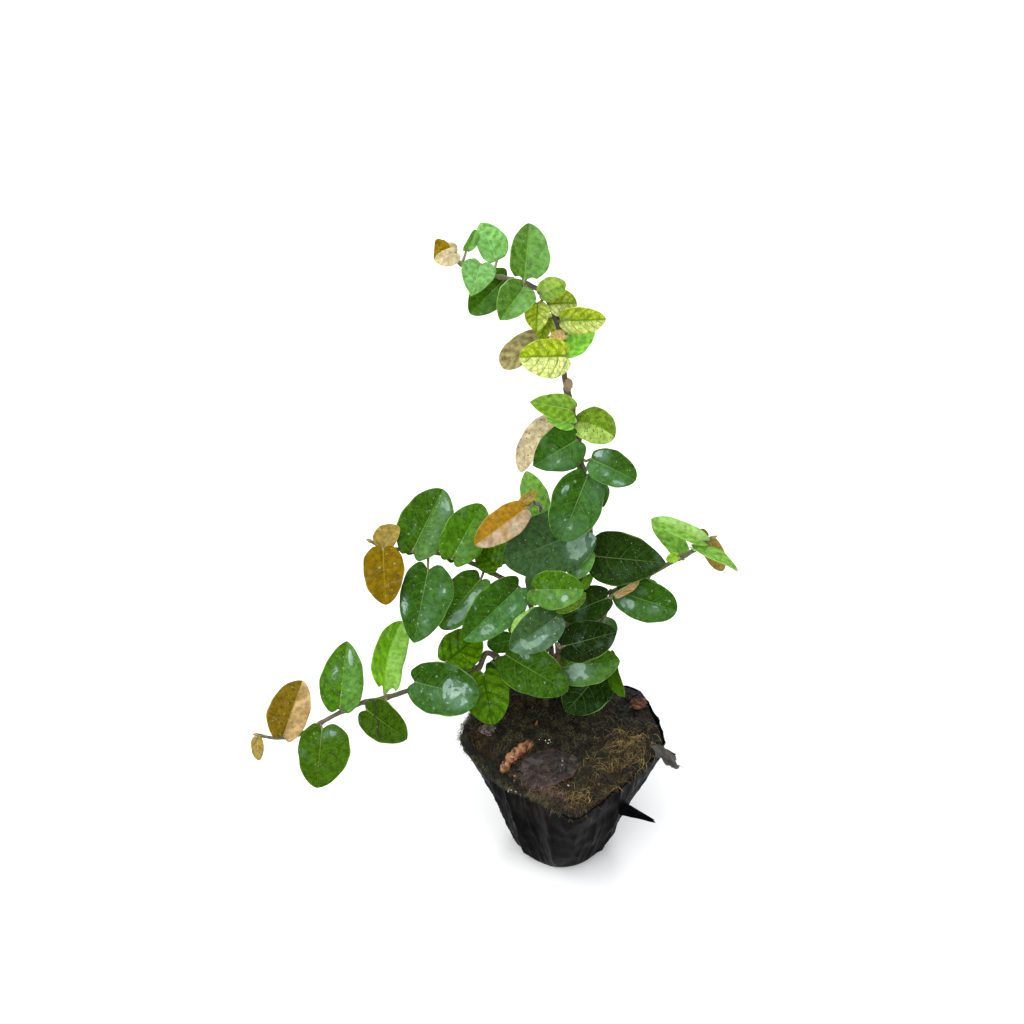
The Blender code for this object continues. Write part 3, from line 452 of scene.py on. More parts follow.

# Painted wet highlights on leaves, which are also smoother there: side and place along the blade, their half
# sizes that way, and how strong (0 to 1)
WET_SHEEN_PATCHES = {
    "leader_lower.glossy_right": ((-0.5, 0.2, 0.4, 0.16, 0.75), (0.35, 0.4, 0.3, 0.16, 0.45),
                                  (0.7, 0.75, 0.2, 0.12, 0.8)),
    "leader_lower.long_hanging": ((-0.6, 0.15, 0.4, 0.2, 0.32), (0, 0.78, 1.2, 0.24, 0.3),
                                  (0.6, 0.3, 0.12, 0.1, 0.6)),
    "leader_lower.heart": ((-0.5, 0.5, 0.4, 0.25, 0.3),),
    "leader_lower.bluish_wide": ((-0.45, 0.14, 0.35, 0.16, 1),),
    "leader_lower.bright_small": ((0.45, 0.3, 0.2, 0.12, 0.8),),
    "leader_lower.deep_right": ((0.45, 0.45, 0.3, 0.2, 0.15), (0.3, 0.8, 0.3, 0.15, 0.2)),
    "upper_left_spray.far_left": ((0.5, 0.75, 0.3, 0.18, 0.7), (0.5, 0.35, 0.35, 0.2, 0.3)),
    "upper_left_spray.left_of_middle": ((0.3, 0.2, 0.4, 0.15, 0.3),),
    "upper_left_spray.hanging_left": ((0.75, 0.55, 0.2, 0.14, 0.6), (-0.6, 0.3, 0.15, 0.1, 0.5),
                                      (-0.3, 0.65, 0.4, 0.2, 0.3)),
    "upper_left_spray.hanging_middle": ((-0.45, 0.35, 0.3, 0.22, 1), (-0.4, 0.7, 0.3, 0.18, 1)),
    "upper_left_spray.hanging_right": ((-0.5, 0.7, 0.35, 0.12, 0.5), (-0.5, 0.3, 0.3, 0.2, 0.3)),
    "lower_left_spray.shining": ((0, 0.62, 0.45, 0.15, 1), (0.35, 0.75, 0.35, 0.12, 1),
                                 (-0.25, 0.8, 0.25, 0.12, 0.9), (0.2, 0.4, 0.4, 0.15, 0.3)),
    "lower_left_spray.pale_high": ((0.4, 0.75, 0.2, 0.15, 0.6), (-0.4, 0.5, 0.3, 0.2, 0.35)),
    "lower_left_spray.front_dark": ((-0.4, 0.3, 0.2, 0.12, 0.5),),
    "lower_left_spray.olive_low": ((-0.3, 0.12, 0.4, 0.08, 0.5),),
    "right_spray.dark_hanging": ((0.45, 0.2, 0.35, 0.16, 0.6), (0.3, 0.65, 0.3, 0.12, 0.45)),
    "front_shoot.bright_front": ((0.5, 0.62, 0.25, 0.1, 0.5), (0.35, 0.35, 0.16, 0.08, 0.5)),
    "front_shoot.grey_green": ((-0.45, 0.62, 0.2, 0.3, 0.8), (-0.1, 0.82, 0.3, 0.12, 0.9)),
    "low_right_shoot.glossy_low": ((0.3, 0.3, 0.42, 0.24, 1),),
}


# Piles of surfaces

class Pile:
    """Collects the surfaces of one piece, with the pattern coordinates and finishes that they need."""

    def __init__(self):
        self.points = []
        self.faces = []
        self.pattern = []
        self.tint = []
        self.mark = []
        self.face_finish = []
        self.finishes = []
        self.count = 0

    def add(self, points, faces, finish, pattern=None, tint=None, mark=None):
        """Add points and faces with one finish; pattern, tint and mark are values at each point."""
        points = np.asarray(points, float)
        if finish not in self.finishes:
            self.finishes.append(finish)
        self.points.append(points)
        self.faces.extend([tuple(index + self.count for index in face) for face in faces])
        self.face_finish.extend([self.finishes.index(finish)] * len(faces))
        blank = np.zeros((len(points), 3))
        self.pattern.append(blank if pattern is None else pattern)
        self.tint.append(blank if tint is None else tint)
        self.mark.append(blank if mark is None else mark)
        self.count += len(points)

    def make(self, name):
        """Build the object from what was collected."""
        mesh = bpy.data.meshes.new(name)
        mesh.from_pydata(np.concatenate(self.points).tolist(), [], self.faces)
        for label, values in (("pattern", self.pattern), ("tint", self.tint), ("mark", self.mark)):
            layer = mesh.attributes.new(label, "FLOAT_VECTOR", "POINT")
            layer.data.foreach_set("vector", np.concatenate(values).astype(np.float32).ravel())
        mesh.polygons.foreach_set("material_index", self.face_finish)
        for finish in self.finishes:
            mesh.materials.append(finish_of(finish))
        bm = bmesh.new()
        bm.from_mesh(mesh)
        bmesh.ops.remove_doubles(bm, verts=bm.verts, dist=WELD)
        bmesh.ops.recalc_face_normals(bm, faces=bm.faces)
        bm.to_mesh(mesh)
        bm.free()
        mesh.shade_smooth()
        item = bpy.data.objects.new(name, mesh)
        bpy.context.scene.collection.objects.link(item)
        return item


def grid_faces(rows, columns, closed=False, start=0):
    """Four-sided faces of a grid of points stored row by row; closed joins the last column to the first."""
    faces = []
    for row in range(rows - 1):
        for column in range(columns - (0 if closed else 1)):
            after = (column + 1) % columns
            low = start + row * columns
            high = low + columns
            faces.append((low + column, low + after, high + after, high + column))
    return faces


def sheet_edge(rows, columns):
    """Faces that close the edge between the upper and the under surface of a sheet."""
    border = list(range(columns))
    border += [row * columns + columns - 1 for row in range(1, rows)]
    border += [(rows - 1) * columns + column for column in range(columns - 2, -1, -1)]
    border += [row * columns for row in range(rows - 2, 0, -1)]
    shift = rows * columns
    faces = []
    for index, point in enumerate(border):
        after = border[(index + 1) % len(border)]
        faces.append((after, point, point + shift, after + shift))
    return faces


def sheet_faces(rows, columns):
    """Faces of a thin sheet: its upper grid, its under grid turned over, and its edge."""
    under = [tuple(reversed(face)) for face in grid_faces(rows, columns, start=rows * columns)]
    return grid_faces(rows, columns) + under + sheet_edge(rows, columns)


def one_tone(tone, points):
    """A tint that is the same at each of the points."""
    return np.array([(tone, 0, 0)] * len(points))


def turned(step, count):
    """The angle of one of so many equal steps round a circle."""
    return 2 * math.pi * step / count


def polar(radius, angle):
    """The place across the bag at a radius and an angle."""
    return radius * math.cos(angle), radius * math.sin(angle)


def smooth_route(points, step):
    """Points about a step apart on a smooth curve through the given ones."""
    ends = [points[0] * 2 - points[1]] + list(points) + [points[-1] * 2 - points[-2]]
    route = []
    for index in range(1, len(ends) - 2):
        before, start, stop, after = ends[index - 1:index + 3]
        parts = max(2, round((stop - start).length / step))
        for part in range(parts):
            share = part / parts
            bend = (2 * start + (stop - before) * share
                    + (2 * before - 5 * start + 4 * stop - after) * share ** 2
                    + (3 * start - before - 3 * stop + after) * share ** 3) / 2
            route.append(bend)
    route.append(points[-1])
    return route


def sweep(route, radii):
    """Points of a round tube along a route, row by row, with a ring of radii at each point of the route."""
    direction = (route[1] - route[0]).normalized()
    side = direction.orthogonal().normalized()
    rows = []
    for index, point in enumerate(route):
        ahead = route[min(index + 1, len(route) - 1)]
        behind = route[max(index - 1, 0)]
        direction = (ahead - behind).normalized()
        side = (side - direction * side.dot(direction)).normalized()
        other = direction.cross(side)
        for step, radius in enumerate(radii[index]):
            angle = turned(step, len(radii[index]))
            rows.append(point + (side * math.cos(angle) + other * math.sin(angle)) * radius)
    return [tuple(row) for row in rows]


def add_tube(pile, route, radii, finish, tone=0, patterned=False):
    """A round tube along a route; tone is one number, or one for each point of the route."""
    sides = len(radii[0])
    points = np.array(sweep(route, radii))
    tint = np.zeros(points.shape)
    tint[:, 0] = np.repeat(np.broadcast_to(tone, len(route)), sides)
    pattern = points * PATTERN_SCALE if patterned else None
    pile.add(points, grid_faces(len(route), sides, closed=True), finish, pattern, tint)


# Blades

def half_width(along, taper=USUAL_TAPER):
    """A fig blade's half width as a share of its widest: heart-shaped base, bluntly pointed tip."""
    widest = (BLADE_SWELL - taper) / (BLADE_SWELL * (1 + taper))
    full = (1 - widest) ** taper * (1 + BLADE_SWELL * widest)
    shape = (1 - along) ** taper * (1 + BLADE_SWELL * along) / full
    return shape * (1 - BASE_DRAWN_IN * (1 - along) ** BASE_SUDDENNESS)


def blade_frame(leaf):
    """The blade's own axes: X across it, Y along the midrib, Z out of the upper face."""
    base = seen(leaf.base, leaf.near[0])
    tip = seen(leaf.tip, leaf.near[1])
    along = (tip - base).normalized()
    face = (TOWARDS - along * TOWARDS.dot(along)).normalized()
    face.rotate(Matrix.Rotation(math.radians(leaf.roll), 3, along))
    across = along.cross(face)
    axes = Matrix((across, along, face)).transposed().to_4x4()
    return Matrix.Translation(base) @ axes, (tip - base).length


def vein_phase(side, along):
    """Whole numbers fall on the side veins, which leave the midrib and curve towards the tip."""
    return VEIN_PAIRS * (along - VEIN_SWEEP * np.abs(side) - VEIN_CURVE * side ** 2) + VEIN_START


def midrib_bow(leaf, length, along):
    """How far the midrib bows to one side at a place along it."""
    return leaf.bend * length * 4 * along * (1 - along)


def blade_across(leaf, side, along, draw):
    """How far the blade's points lie from its midrib; the edge is slightly uneven."""
    edge = 1 + EDGE_WAVE * np.sin(EDGE_WAVE_RATE * along + draw[0]) * np.sign(side)
    edge = edge + EDGE_RIPPLE * np.sin(EDGE_RIPPLE_RATE * along + draw[1])
    wider = 1 + leaf.skew * np.sign(side)
    return side * wider * half_width(along, leaf.taper) * leaf.width * MM / 2 * edge


def blade_form(leaf, length, side, along, draw):
    """The blade's upper surface in its own axes, for arrays of side (-1 to 1) and along (0 to 1)."""
    across = blade_across(leaf, side, along, draw)
    lobe = leaf.lobe * length * np.sin(LOBE_CURL * math.pi * np.abs(side)) * (1 - along) ** LOBE_FADE
    rise = np.abs(across) * math.tan(math.radians(leaf.fold))
    bow = leaf.arch * length * 4 * along * (1 - along)
    wave = np.sin(RIPPLE_RATE * along + RIPPLE_SLANT * side)
    ripple = RIPPLE * length * half_width(along) * side ** 2 * wave
    between = 0.5 - 0.5 * np.cos(2 * math.pi * vein_phase(side, along))
    fade = (1 - np.abs(side) ** 5) * np.minimum(1, np.abs(side) * 5) * half_width(along)
    quilt = VEIN_RELIEF * leaf.width / USUAL_WIDTH * between * fade
    groove = -GROOVE_DEPTH * np.exp(-(across / GROOVE_WIDTH) ** 2) * (1 - along)
    bent = across + midrib_bow(leaf, length, along)
    return np.stack([bent, length * along - lobe, rise + bow + ripple + quilt + groove], axis=-1)


def blade_grid():
    """Where the blade's points lie: rows crowd at the tip, columns at the midrib."""
    level = np.linspace(0, 1, BLADE_ALONG + 1)
    spread = np.linspace(-1, 1, BLADE_ACROSS + 1)
    along = 1 - (1 - level) ** TIP_CROWDING
    side = np.sign(spread) * np.abs(spread) ** MIDRIB_CROWDING
    return np.meshgrid(side, along)


def surface_normals(points):
    """Unit normals of a grid of points; the tip's row takes those of the row before it."""
    down = np.gradient(points, axis=0)
    right = np.gradient(points, axis=1)
    normals = np.cross(right, down)
    normals[-1] = normals[-2]
    return normals / (np.linalg.norm(normals, axis=-1, keepdims=True) + 1e-12)


def blade_marks(leaf, patches, side, along):
    """Which half of the blade takes the painted sheen, where the painted wet highlights lie, and how light
    the leaf is, as values at each point.
    """
    sheen_half = abs(leaf.pale) * (side * leaf.pale > 0)
    wet_sheen_mark = np.zeros(side.shape)
    for middle_side, middle_along, half_across, half_along, sheen_wetness in patches:
        away = ((side - middle_side) / half_across) ** 2 + ((along - middle_along) / half_along) ** 2
        wet_sheen_mark = np.maximum(wet_sheen_mark, sheen_wetness * np.exp(-away))
    return np.stack([sheen_half, wet_sheen_mark, np.full(side.shape, leaf.light)], axis=-1)


def add_blade(pile, leaf, patches, seed):
    """One leaf blade: a thin closed sheet with a ribbed under side."""
    place, length = blade_frame(leaf)
    draw = np.random.default_rng(seed).uniform(0, TURN, 2)
    side, along = blade_grid()
    upper = blade_form(leaf, length, side, along, draw)
    normals = surface_normals(upper)
    thin = 1 - EDGE_THINNING * np.abs(side) ** 6
    across = blade_across(leaf, side, along, draw)
    rib = RIB_DEPTH * np.exp(-(across / RIB_WIDTH) ** 2) * (1 - along) ** 0.8
    under = upper - normals * (BLADE_THICKNESS * thin + rib)[..., None]
    flat = np.stack([across * PATTERN_SCALE, upper[..., 1] * PATTERN_SCALE,
                     np.full(side.shape, draw[0])], axis=-1)
    face_up = np.stack([side, along, np.ones(side.shape)], axis=-1)
    face_down = np.stack([side, along, np.zeros(side.shape)], axis=-1)
    points = np.concatenate([upper.reshape(-1, 3), under.reshape(-1, 3)])
    matrix = np.array(place)
    points = points @ matrix[:3, :3].T + matrix[:3, 3]
    pattern = np.concatenate([face_up.reshape(-1, 3), face_down.reshape(-1, 3)])
    tint = np.concatenate([flat.reshape(-1, 3), flat.reshape(-1, 3)])
    mark = blade_marks(leaf, patches, side, along).reshape(-1, 3)
    pile.add(points, sheet_faces(*side.shape), leaf.tone, pattern, tint, np.concatenate([mark, mark]))
    return place, length, draw


def add_drops(pile, leaf, place, length, draw, seed):
    """Water drops that sit on the upper face of a blade."""
    scatter = random.Random(seed)
    for _ in range(leaf.drops):
        side = scatter.uniform(-0.8, 0.8)
        along = scatter.uniform(0.1, 0.88)
        spot = blade_form(leaf, length, np.array([side]), np.array([along]), draw)[0]
        size = scatter.choice(DROP_RADII) * MM
        points = []
        for ring in range(DROP_RINGS):
            tilt = ring / (DROP_RINGS - 1) * math.pi / 2
            for step in range(DROP_SIDES):
                aside, ahead = polar(size * math.cos(tilt), turned(step, DROP_SIDES))
                lift = size * DROP_HEIGHT * math.sin(tilt)
                points.append(place @ Vector((spot[0] + aside, spot[1] + ahead, spot[2] + lift - DROP_SINK)))
        faces = grid_faces(DROP_RINGS, DROP_SIDES, closed=True)
        faces.append(tuple(reversed(range(DROP_SIDES))))
        pile.add([tuple(point) for point in points], faces, "water")


# Stems

def nearest_on(points, target):
    """The point of a bent line that lies nearest to a target."""
    best = points[0]
    for start, end in zip(points, points[1:]):
        run = end - start
        share = max(0, min(1, (target - start).dot(run) / run.length_squared))
        spot = start + run * share
        if (spot - target).length < (best - target).length:
            best = spot
    return best


def stem_points(stem):
    """The points of a stem: straight up out of the soil, then along its route."""
    points = [seen(pixel[:2], pixel[2]) for pixel in stem.route]
    if stem.root:
        foot = Vector((stem.root[0] * MM, stem.root[1] * MM, BAG_HEIGHT))
        points = [foot - Vector((0, 0, STEM_DEPTH)), foot + Vector((0, 0, SOIL_MOUND))] + points
    return points


def capped(route):
    """A route with a point a hair beyond each end, for a cap."""
    hair = 0.05 * MM
    before = route[0] + (route[0] - route[1]).normalized() * hair
    after = route[-1] + (route[-1] - route[-2]).normalized() * hair
    return [before] + route + [after]


def from_end(index, route):
    """How many points away the nearer end of a route is."""
    return min(index, len(route) - 1 - index)


def add_stem(pile, stem, joints):
    """A stem with rough bark, swollen where leaves join it."""
    route = capped(smooth_route(stem_points(stem), STEM_STEP))
    radii = []
    ages = []
    for index, point in enumerate(route):
        share = index / (len(route) - 1)
        radius = stem.radii[0] + (stem.radii[1] - stem.radii[0]) * share
        age = stem.age[0] + (stem.age[1] - stem.age[0]) * share
        swell = sum(math.exp(-((point - joint).length / NODE_REACH) ** 2) for joint in joints)
        radius *= 1 + NODE_SWELL * min(1, swell)
        close = STEM_CLOSING.get(from_end(index, route), 1)
        ring = []
        for step in range(STEM_SIDES):
            spot = Vector((step * BARK_GRAIN[0], index * BARK_GRAIN[1], radius * BARK_GRAIN[2]))
            rough = noise.noise(spot) * BARK_ROUGHNESS * (1 - 0.6 * age)
            ring.append(radius * (1 + rough) * close)
        radii.append(ring)
        ages.append(age)
    add_tube(pile, route, radii, "bark", ages, patterned=True)


def add_petiole(pile, leaf, start, age):
    """The leaf's stalk, which runs on into the rib under the blade."""
    place, length = blade_frame(leaf)
    base = place.translation
    middle = (start + base) / 2 - UP * (base - start).length * PETIOLE_SAG
    rib = [place @ Vector((midrib_bow(leaf, length, share), share * length, -depth * MM))
           for share, depth in PETIOLE_RIB]
    route = smooth_route([start, middle, base] + rib, PETIOLE_STEP)
    radii = []
    for index in range(len(route)):
        share = index / (len(route) - 1)
        foot = PETIOLE_FOOT_SWELL if share < PETIOLE_FOOT else 1
        radius = PETIOLE_RADIUS * (1 - PETIOLE_TAPER * share) * foot
        close = PETIOLE_CLOSING if from_end(index, route) == 0 else 1
        radii.append([radius * close] * PETIOLE_SIDES)
    add_tube(pile, route, radii, "stalk", age, patterned=True)


def add_knob(pile, place, radius, finish):
    """A rough knob, such as a dormant bud or a dry scale."""
    points = []
    for vert, rough in zip(BALL_POINTS, BALL_ROUGHNESS):
        spot = vert * rough * radius * MM
        points.append(tuple(place + RIGHT * spot.x * KNOB_SHAPE[0] + UP * spot.y * KNOB_SHAPE[1]
                            + TOWARDS * spot.z * KNOB_SHAPE[2]))
    pile.add(points, BALL_FACES, finish, None, one_tone(KNOB_TONE, points))


def add_bud(pile, stem):
    """The pointed sheath that wraps the growing tip."""
    points = stem_points(stem)
    tip = points[-1]
    ahead = (tip - points[-2]).normalized()
    start = tip - ahead * BUD_START * MM
    route = [start + ahead * BUD_STEP * MM * step for step in range(len(BUD_SHAPE))]
    radii = [[stem.radii[1] * BUD_SWELL * size] * BUD_SIDES for size in BUD_SHAPE]
    add_tube(pile, route, radii, "bud", 1)


def ball(subdivisions):
    """Points and faces of a round ball."""
    bm = bmesh.new()
    bmesh.ops.create_icosphere(bm, subdivisions=subdivisions, radius=1)
    points = [vert.co.copy() for vert in bm.verts]
    faces = [tuple(vert.index for vert in face.verts) for face in bm.faces]
    bm.free()
    return points, faces


BALL_POINTS, BALL_FACES = ball(4)
BALL_ROUGHNESS = [1 + 0.25 * noise.noise(point * 2.5) + 0.12 * noise.noise(point * 7)
                  for point in BALL_POINTS]
# Knobs on the stems: pixel across, pixel down and mm towards the viewer, radius in mm, finish
KNOBS = {
    "leader_lower": [((568, 385, 49.8), 1.75, "knob")],
    "low_right_shoot": [((557, 658, 16), 1.5, "scale"), ((561, 666, 14), 1.2, "scale")],
    "right_spray": [((611, 593, 22.5), 1.1, "scale")],
}
# Dry sheaths that cling to a stem
SHEATHS = {
    "right_spray": [Leaf("sheath", (614, 596), (640, 580), (31, 34), 2.8, "tan", roll=20, fold=30, lobe=0)],
}


def make_leafy_stem(name, stem, leaves, seed):
    """One stem with its petioles and blades, in place of the plain node."""
    pile = Pile()
    points = stem_points(stem)
    joints = [nearest_on(points, blade_frame(leaf)[0].translation) for leaf in leaves]
    add_stem(pile, stem, joints)
    if "copper_tip" in name and name != "centre_copper_tip":
        add_bud(pile, stem)
    for index, (leaf, joint) in enumerate(zip(leaves, joints)):
        add_petiole(pile, leaf, joint, (stem.age[0] + stem.age[1]) / 2)
        patches = WET_SHEEN_PATCHES.get(name + "." + leaf.name, ())
        place, length, draw = add_blade(pile, leaf, patches, seed + index)
        add_drops(pile, leaf, place, length, draw, seed + index)
    for pixel, radius, finish in KNOBS.get(name, []):
        add_knob(pile, seen(pixel[:2], pixel[2]), radius, finish)
    for leaf in SHEATHS.get(name, []):
        add_blade(pile, leaf, (), seed)
    settle(pile.make(name + "_finish"), [name])


def make_dry_leaf(name, leaf, carrier_pixel, seed):
    """A dry leaf with its own stalk."""
    pile = Pile()
    carrier = seen(carrier_pixel[:2], carrier_pixel[2])
    base = seen(leaf.base, leaf.near[0])
    start = carrier + (base - carrier).normalized() * LEADER_TOP_RADIUS
    add_petiole(pile, leaf, start, DRY_STALK_AGE)
    add_blade(pile, leaf, (), seed)
    settle(pile.make(name + "_finish"), [name])


def settle(item, nodes):
    """A finished piece rides on the plant's one body, and the nodes that it replaces are hidden."""
    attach(item, "root")
    if nodes:
        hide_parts(*nodes)


# Bag and soil

def rim_section(angle):
    """The bag's radius at the rim: five flats with rounded corners between them."""
    total = 0
    for direction, distance in FLATS:
        facing = math.cos(angle - math.radians(direction))
        if facing > 0:
            total += (facing / (distance * MM)) ** CORNER_SHARPNESS
    return total ** (-1 / CORNER_SHARPNESS)


def pleat(angle):
    """How far the gathered film stands in or out, between -1 and 1."""
    return sum(strength * math.sin(number * angle + phase) for strength, number, phase in PLEATS)


def rim_drop(angle):
    """How far the rim has sunk: on the left front, where moss grows over it."""
    return max(0, math.cos(angle - RIM_DIP_ANGLE)) ** RIM_DIP_SHARPNESS * RIM_DIP


def rim_height(angle):
    """The rim's height: gently waved, and lower on the left front."""
    return BAG_HEIGHT - rim_drop(angle) + RIM_WAVE * math.sin(RIM_WAVES * angle + RIM_WAVE_PHASE)


def bag_radius(angle, share):
    """The bag's radius at a share of the rim's section; it grows rounder towards the bottom."""
    roundness = (1 - share) / (1 - BAG_PROFILE[0][1])
    round_radius = BOTTOM_RADIUS / BAG_PROFILE[0][1]
    section = rim_section(angle) * (1 - roundness) + round_radius * roundness
    gather = 4 * roundness * (1 - roundness) + LEAST_GATHER
    return section * share + PLEAT_DEPTH * gather * pleat(angle)


def share_at(height):
    """The share of the rim's section at a height."""
    heights = [z * MM for z, share in BAG_PROFILE]
    return float(np.interp(height, heights, [share for z, share in BAG_PROFILE]))


def crease(place):
    """A sharp fold: 0 at whole numbers, and 1 halfway between them."""
    return 1 - 2 * abs(place % 1 - 0.5)


def crumple(angle, height):
    """Creases of the thin film: sharp folds that gather downwards, with small dents between."""
    drift = DRIFT * noise.noise(Vector((angle * 2, height / DRIFT_GRAIN, 3)))
    fold = crease(angle * FOLDS + drift + height / FOLD_SHIFT)
    fine = crease(angle * FINE_FOLDS - 1.6 * drift)
    dent = noise.noise(Vector((*polar(DENTS_AROUND, angle), height / DENT_GRAIN)))
    return (FOLD_HEIGHT * fold ** 3 + FINE_FOLD_HEIGHT * fine ** 4 + DENT_HEIGHT * dent) * MM


def make_bag():
    """The bag: creased thin film, open at the top, with a flat bottom."""
    rows = []
    for level in range(BAG_LEVELS + 1):
        rise = level / BAG_LEVELS
        for step in range(BAG_AROUND):
            angle = turned(step, BAG_AROUND)
            height = rise * rim_height(angle)
            loose = min(1, height / LOOSE_HEIGHT)
            wall = bag_radius(angle, share_at(rise * BAG_HEIGHT))
            rows.append((wall + crumple(angle, height) * loose - FILM_INSET, angle, height, rise))
    outside = [(*polar(radius, angle), height) for radius, angle, height, rise in rows]
    inside = [(*polar(radius - FILM, angle), max(height, FILM)) for radius, angle, height, rise in rows]
    pattern = np.array([(0, 0, row[-1]) for row in rows])
    count = len(rows)
    faces = grid_faces(BAG_LEVELS + 1, BAG_AROUND, closed=True)
    faces += [tuple(reversed(face)) for face in
              grid_faces(BAG_LEVELS + 1, BAG_AROUND, closed=True, start=count)]
    top = BAG_LEVELS * BAG_AROUND
    for step in range(BAG_AROUND):
        after = (step + 1) % BAG_AROUND
        faces.append((top + step, top + after, count + top + after, count + top + step))
    faces.append(tuple(reversed(range(BAG_AROUND))))
    faces.append(tuple(range(count, count + BAG_AROUND)))
    pile = Pile()
    pile.add(outside + inside, faces, "film", np.concatenate([pattern, pattern]))
    settle(pile.make("grow_bag_finish"), ["grow_bag"])


def soil_top(x, y):
    """The height of the soil's surface: a low mound with clods."""
    angle = math.atan2(y, x)
    reach = min(1, math.hypot(x, y) / rim_section(angle))
    clod = noise.noise(Vector((x, y, 0)) / SOIL_GRAIN) * SOIL_ROUGHNESS
    mound = SOIL_MOUND * (1 - reach ** 2)
    return BAG_HEIGHT - SOIL_BELOW_RIM + mound - rim_drop(angle) * reach ** 5 + clod


def soil_skin(x, y):
    """The soil's surface with its crumbs and pits."""
    spot = Vector((x, y, SKIN_LEVEL))
    crumb = sum(noise.noise(spot / (grain * MM)) * height for grain, height in SKIN_CRUMBS)
    pit = -abs(noise.noise(spot / (SKIN_PITS[0] * MM))) * SKIN_PITS[1]
    return soil_top(x, y) + (crumb + pit + SKIN_LIFT) * MM


def make_soil():
    """The root ball: a crumbly top, and plain sides inside the bag."""
    points = []
    for height in SOIL_SIDE_HEIGHTS:
        for step in range(SOIL_AROUND):
            angle = turned(step, SOIL_AROUND)
            radius = bag_radius(angle, share_at(height * MM)) - SOIL_SIDE_INSET
            points.append((*polar(radius, angle), height * MM * rim_height(angle) / BAG_HEIGHT))
    for ring in range(SOIL_RINGS):
        share = 1 - ring / SOIL_RINGS
        for step in range(SOIL_AROUND):
            angle = turned(step, SOIL_AROUND)
            x, y = polar((bag_radius(angle, 1) - SOIL_INSET) * share, angle)
            points.append((x, y, soil_skin(x, y)))
    faces = grid_faces(len(SOIL_SIDE_HEIGHTS) + SOIL_RINGS, SOIL_AROUND, closed=True)
    last = len(points) - SOIL_AROUND
    faces.append(tuple(range(last, len(points))))
    faces.append(tuple(reversed(range(SOIL_AROUND))))
    pile = Pile()
    pile.add(points, faces, "soil")
    settle(pile.make("soil_finish"), ["soil_block"])


def inside_rim(draw, reach):
    """A random place on the soil, evenly spread."""
    angle = draw.uniform(0, 2 * math.pi)
    return polar((bag_radius(angle, 1) - SOIL_INSET) * reach * math.sqrt(draw.random()), angle)


# Strands of root and moss: points and sides of each, how its arch varies, and what is left of its radius at
# both ends
STRAND_POINTS = 7
STRAND_SIDES = 3
STRAND_ARCH = (0.6, 1.3)
STRAND_CLOSING = 0.4


def add_strand(pile, draw, x, y, length, radius, finish, lift, curl):
    """One thin strand that wanders over the soil."""
    heading = draw.uniform(0, 2 * math.pi)
    route = []
    for step in range(STRAND_POINTS):
        share = step / (STRAND_POINTS - 1)
        arch = math.sin(math.pi * share)
        route.append(Vector((x, y, soil_skin(x, y) + lift * MM * arch * draw.uniform(*STRAND_ARCH))))
        heading += draw.uniform(-curl, curl)
        x += math.cos(heading) * length / STRAND_POINTS * MM
        y += math.sin(heading) * length / STRAND_POINTS * MM
    radii = [[radius * MM * (1 if from_end(step, route) else STRAND_CLOSING)] * STRAND_SIDES
             for step in range(STRAND_POINTS)]
    add_tube(pile, route, radii, finish, draw.random())


# The dark strand's radii and sides, the step along it, and its route: pixel, and mm towards the viewer
DARK_STRAND_RADII = (0.18, 0.34)
DARK_STRAND_SIDES = 6
DARK_STRAND_STEP = 0.4 * MM
DARK_STRAND_SEED = 9
DARK_STRAND = [((369, 699), 19), ((374, 702), 21.5), ((376, 709), 22.5), ((374.5, 716), 23), ((379, 722), 23),
           ((377.5, 730), 23), ((380, 738), 22.5)]

# Where each kind of strand grows on the soil: middle pixel, radius in mm, number of strands. The strands
# thin out away from the middle, and STRAND_SPREAD is how far as a share of the radius
STRAND_SPREAD = 0.55
STRAND_SEED = 31
STRAND_ZONES = {
    "fibre": [((628, 742), 7, 170), ((640, 755), 7, 100), ((612, 768), 9, 90), ((585, 798), 8, 60),
              ((570, 803), 4, 30)],
    "rust_fibre": [((513, 706), 7, 260), ((478, 752), 8, 220), ((470, 735), 5, 90), ((545, 800), 8, 200),
                   ((620, 775), 9, 130), ((596, 800), 8, 100)],
    "brown_fibre": [((560, 790), 12, 420), ((500, 735), 10, 300), ((610, 765), 14, 500),
                    ((545, 735), 14, 260)],
    "moss": [((555, 740), 30, 3000), ((530, 738), 14, 900)],
    "dark_moss": [((560, 745), 32, 1200)],
    "cover_fibre": [((536, 795), 6, 320), ((552, 806), 6, 260), ((525, 782), 5, 160), ((545, 785), 6, 120)],
}
# Strand length and radius in mm: least and most; least and most height of the arch in mm; how much they bend
STRAND_FORMS = {
    "fibre": ((3, 7), (0.03, 0.08), (0.3, 2.2), 0.6),
    "rust_fibre": ((2, 5), (0.03, 0.06), (0.1, 1.2), 0.5),
    "brown_fibre": ((2, 5), (0.03, 0.06), (0.1, 1.2), 0.5),
    "moss": ((1.2, 3.5), (0.03, 0.065), (0.1, 1.4), 0.6),
    "dark_moss": ((1, 3), (0.04, 0.08), (0.1, 1.0), 0.8),
    "cover_fibre": ((2, 5), (0.03, 0.06), (1.3, 2.2), 0.5),
}


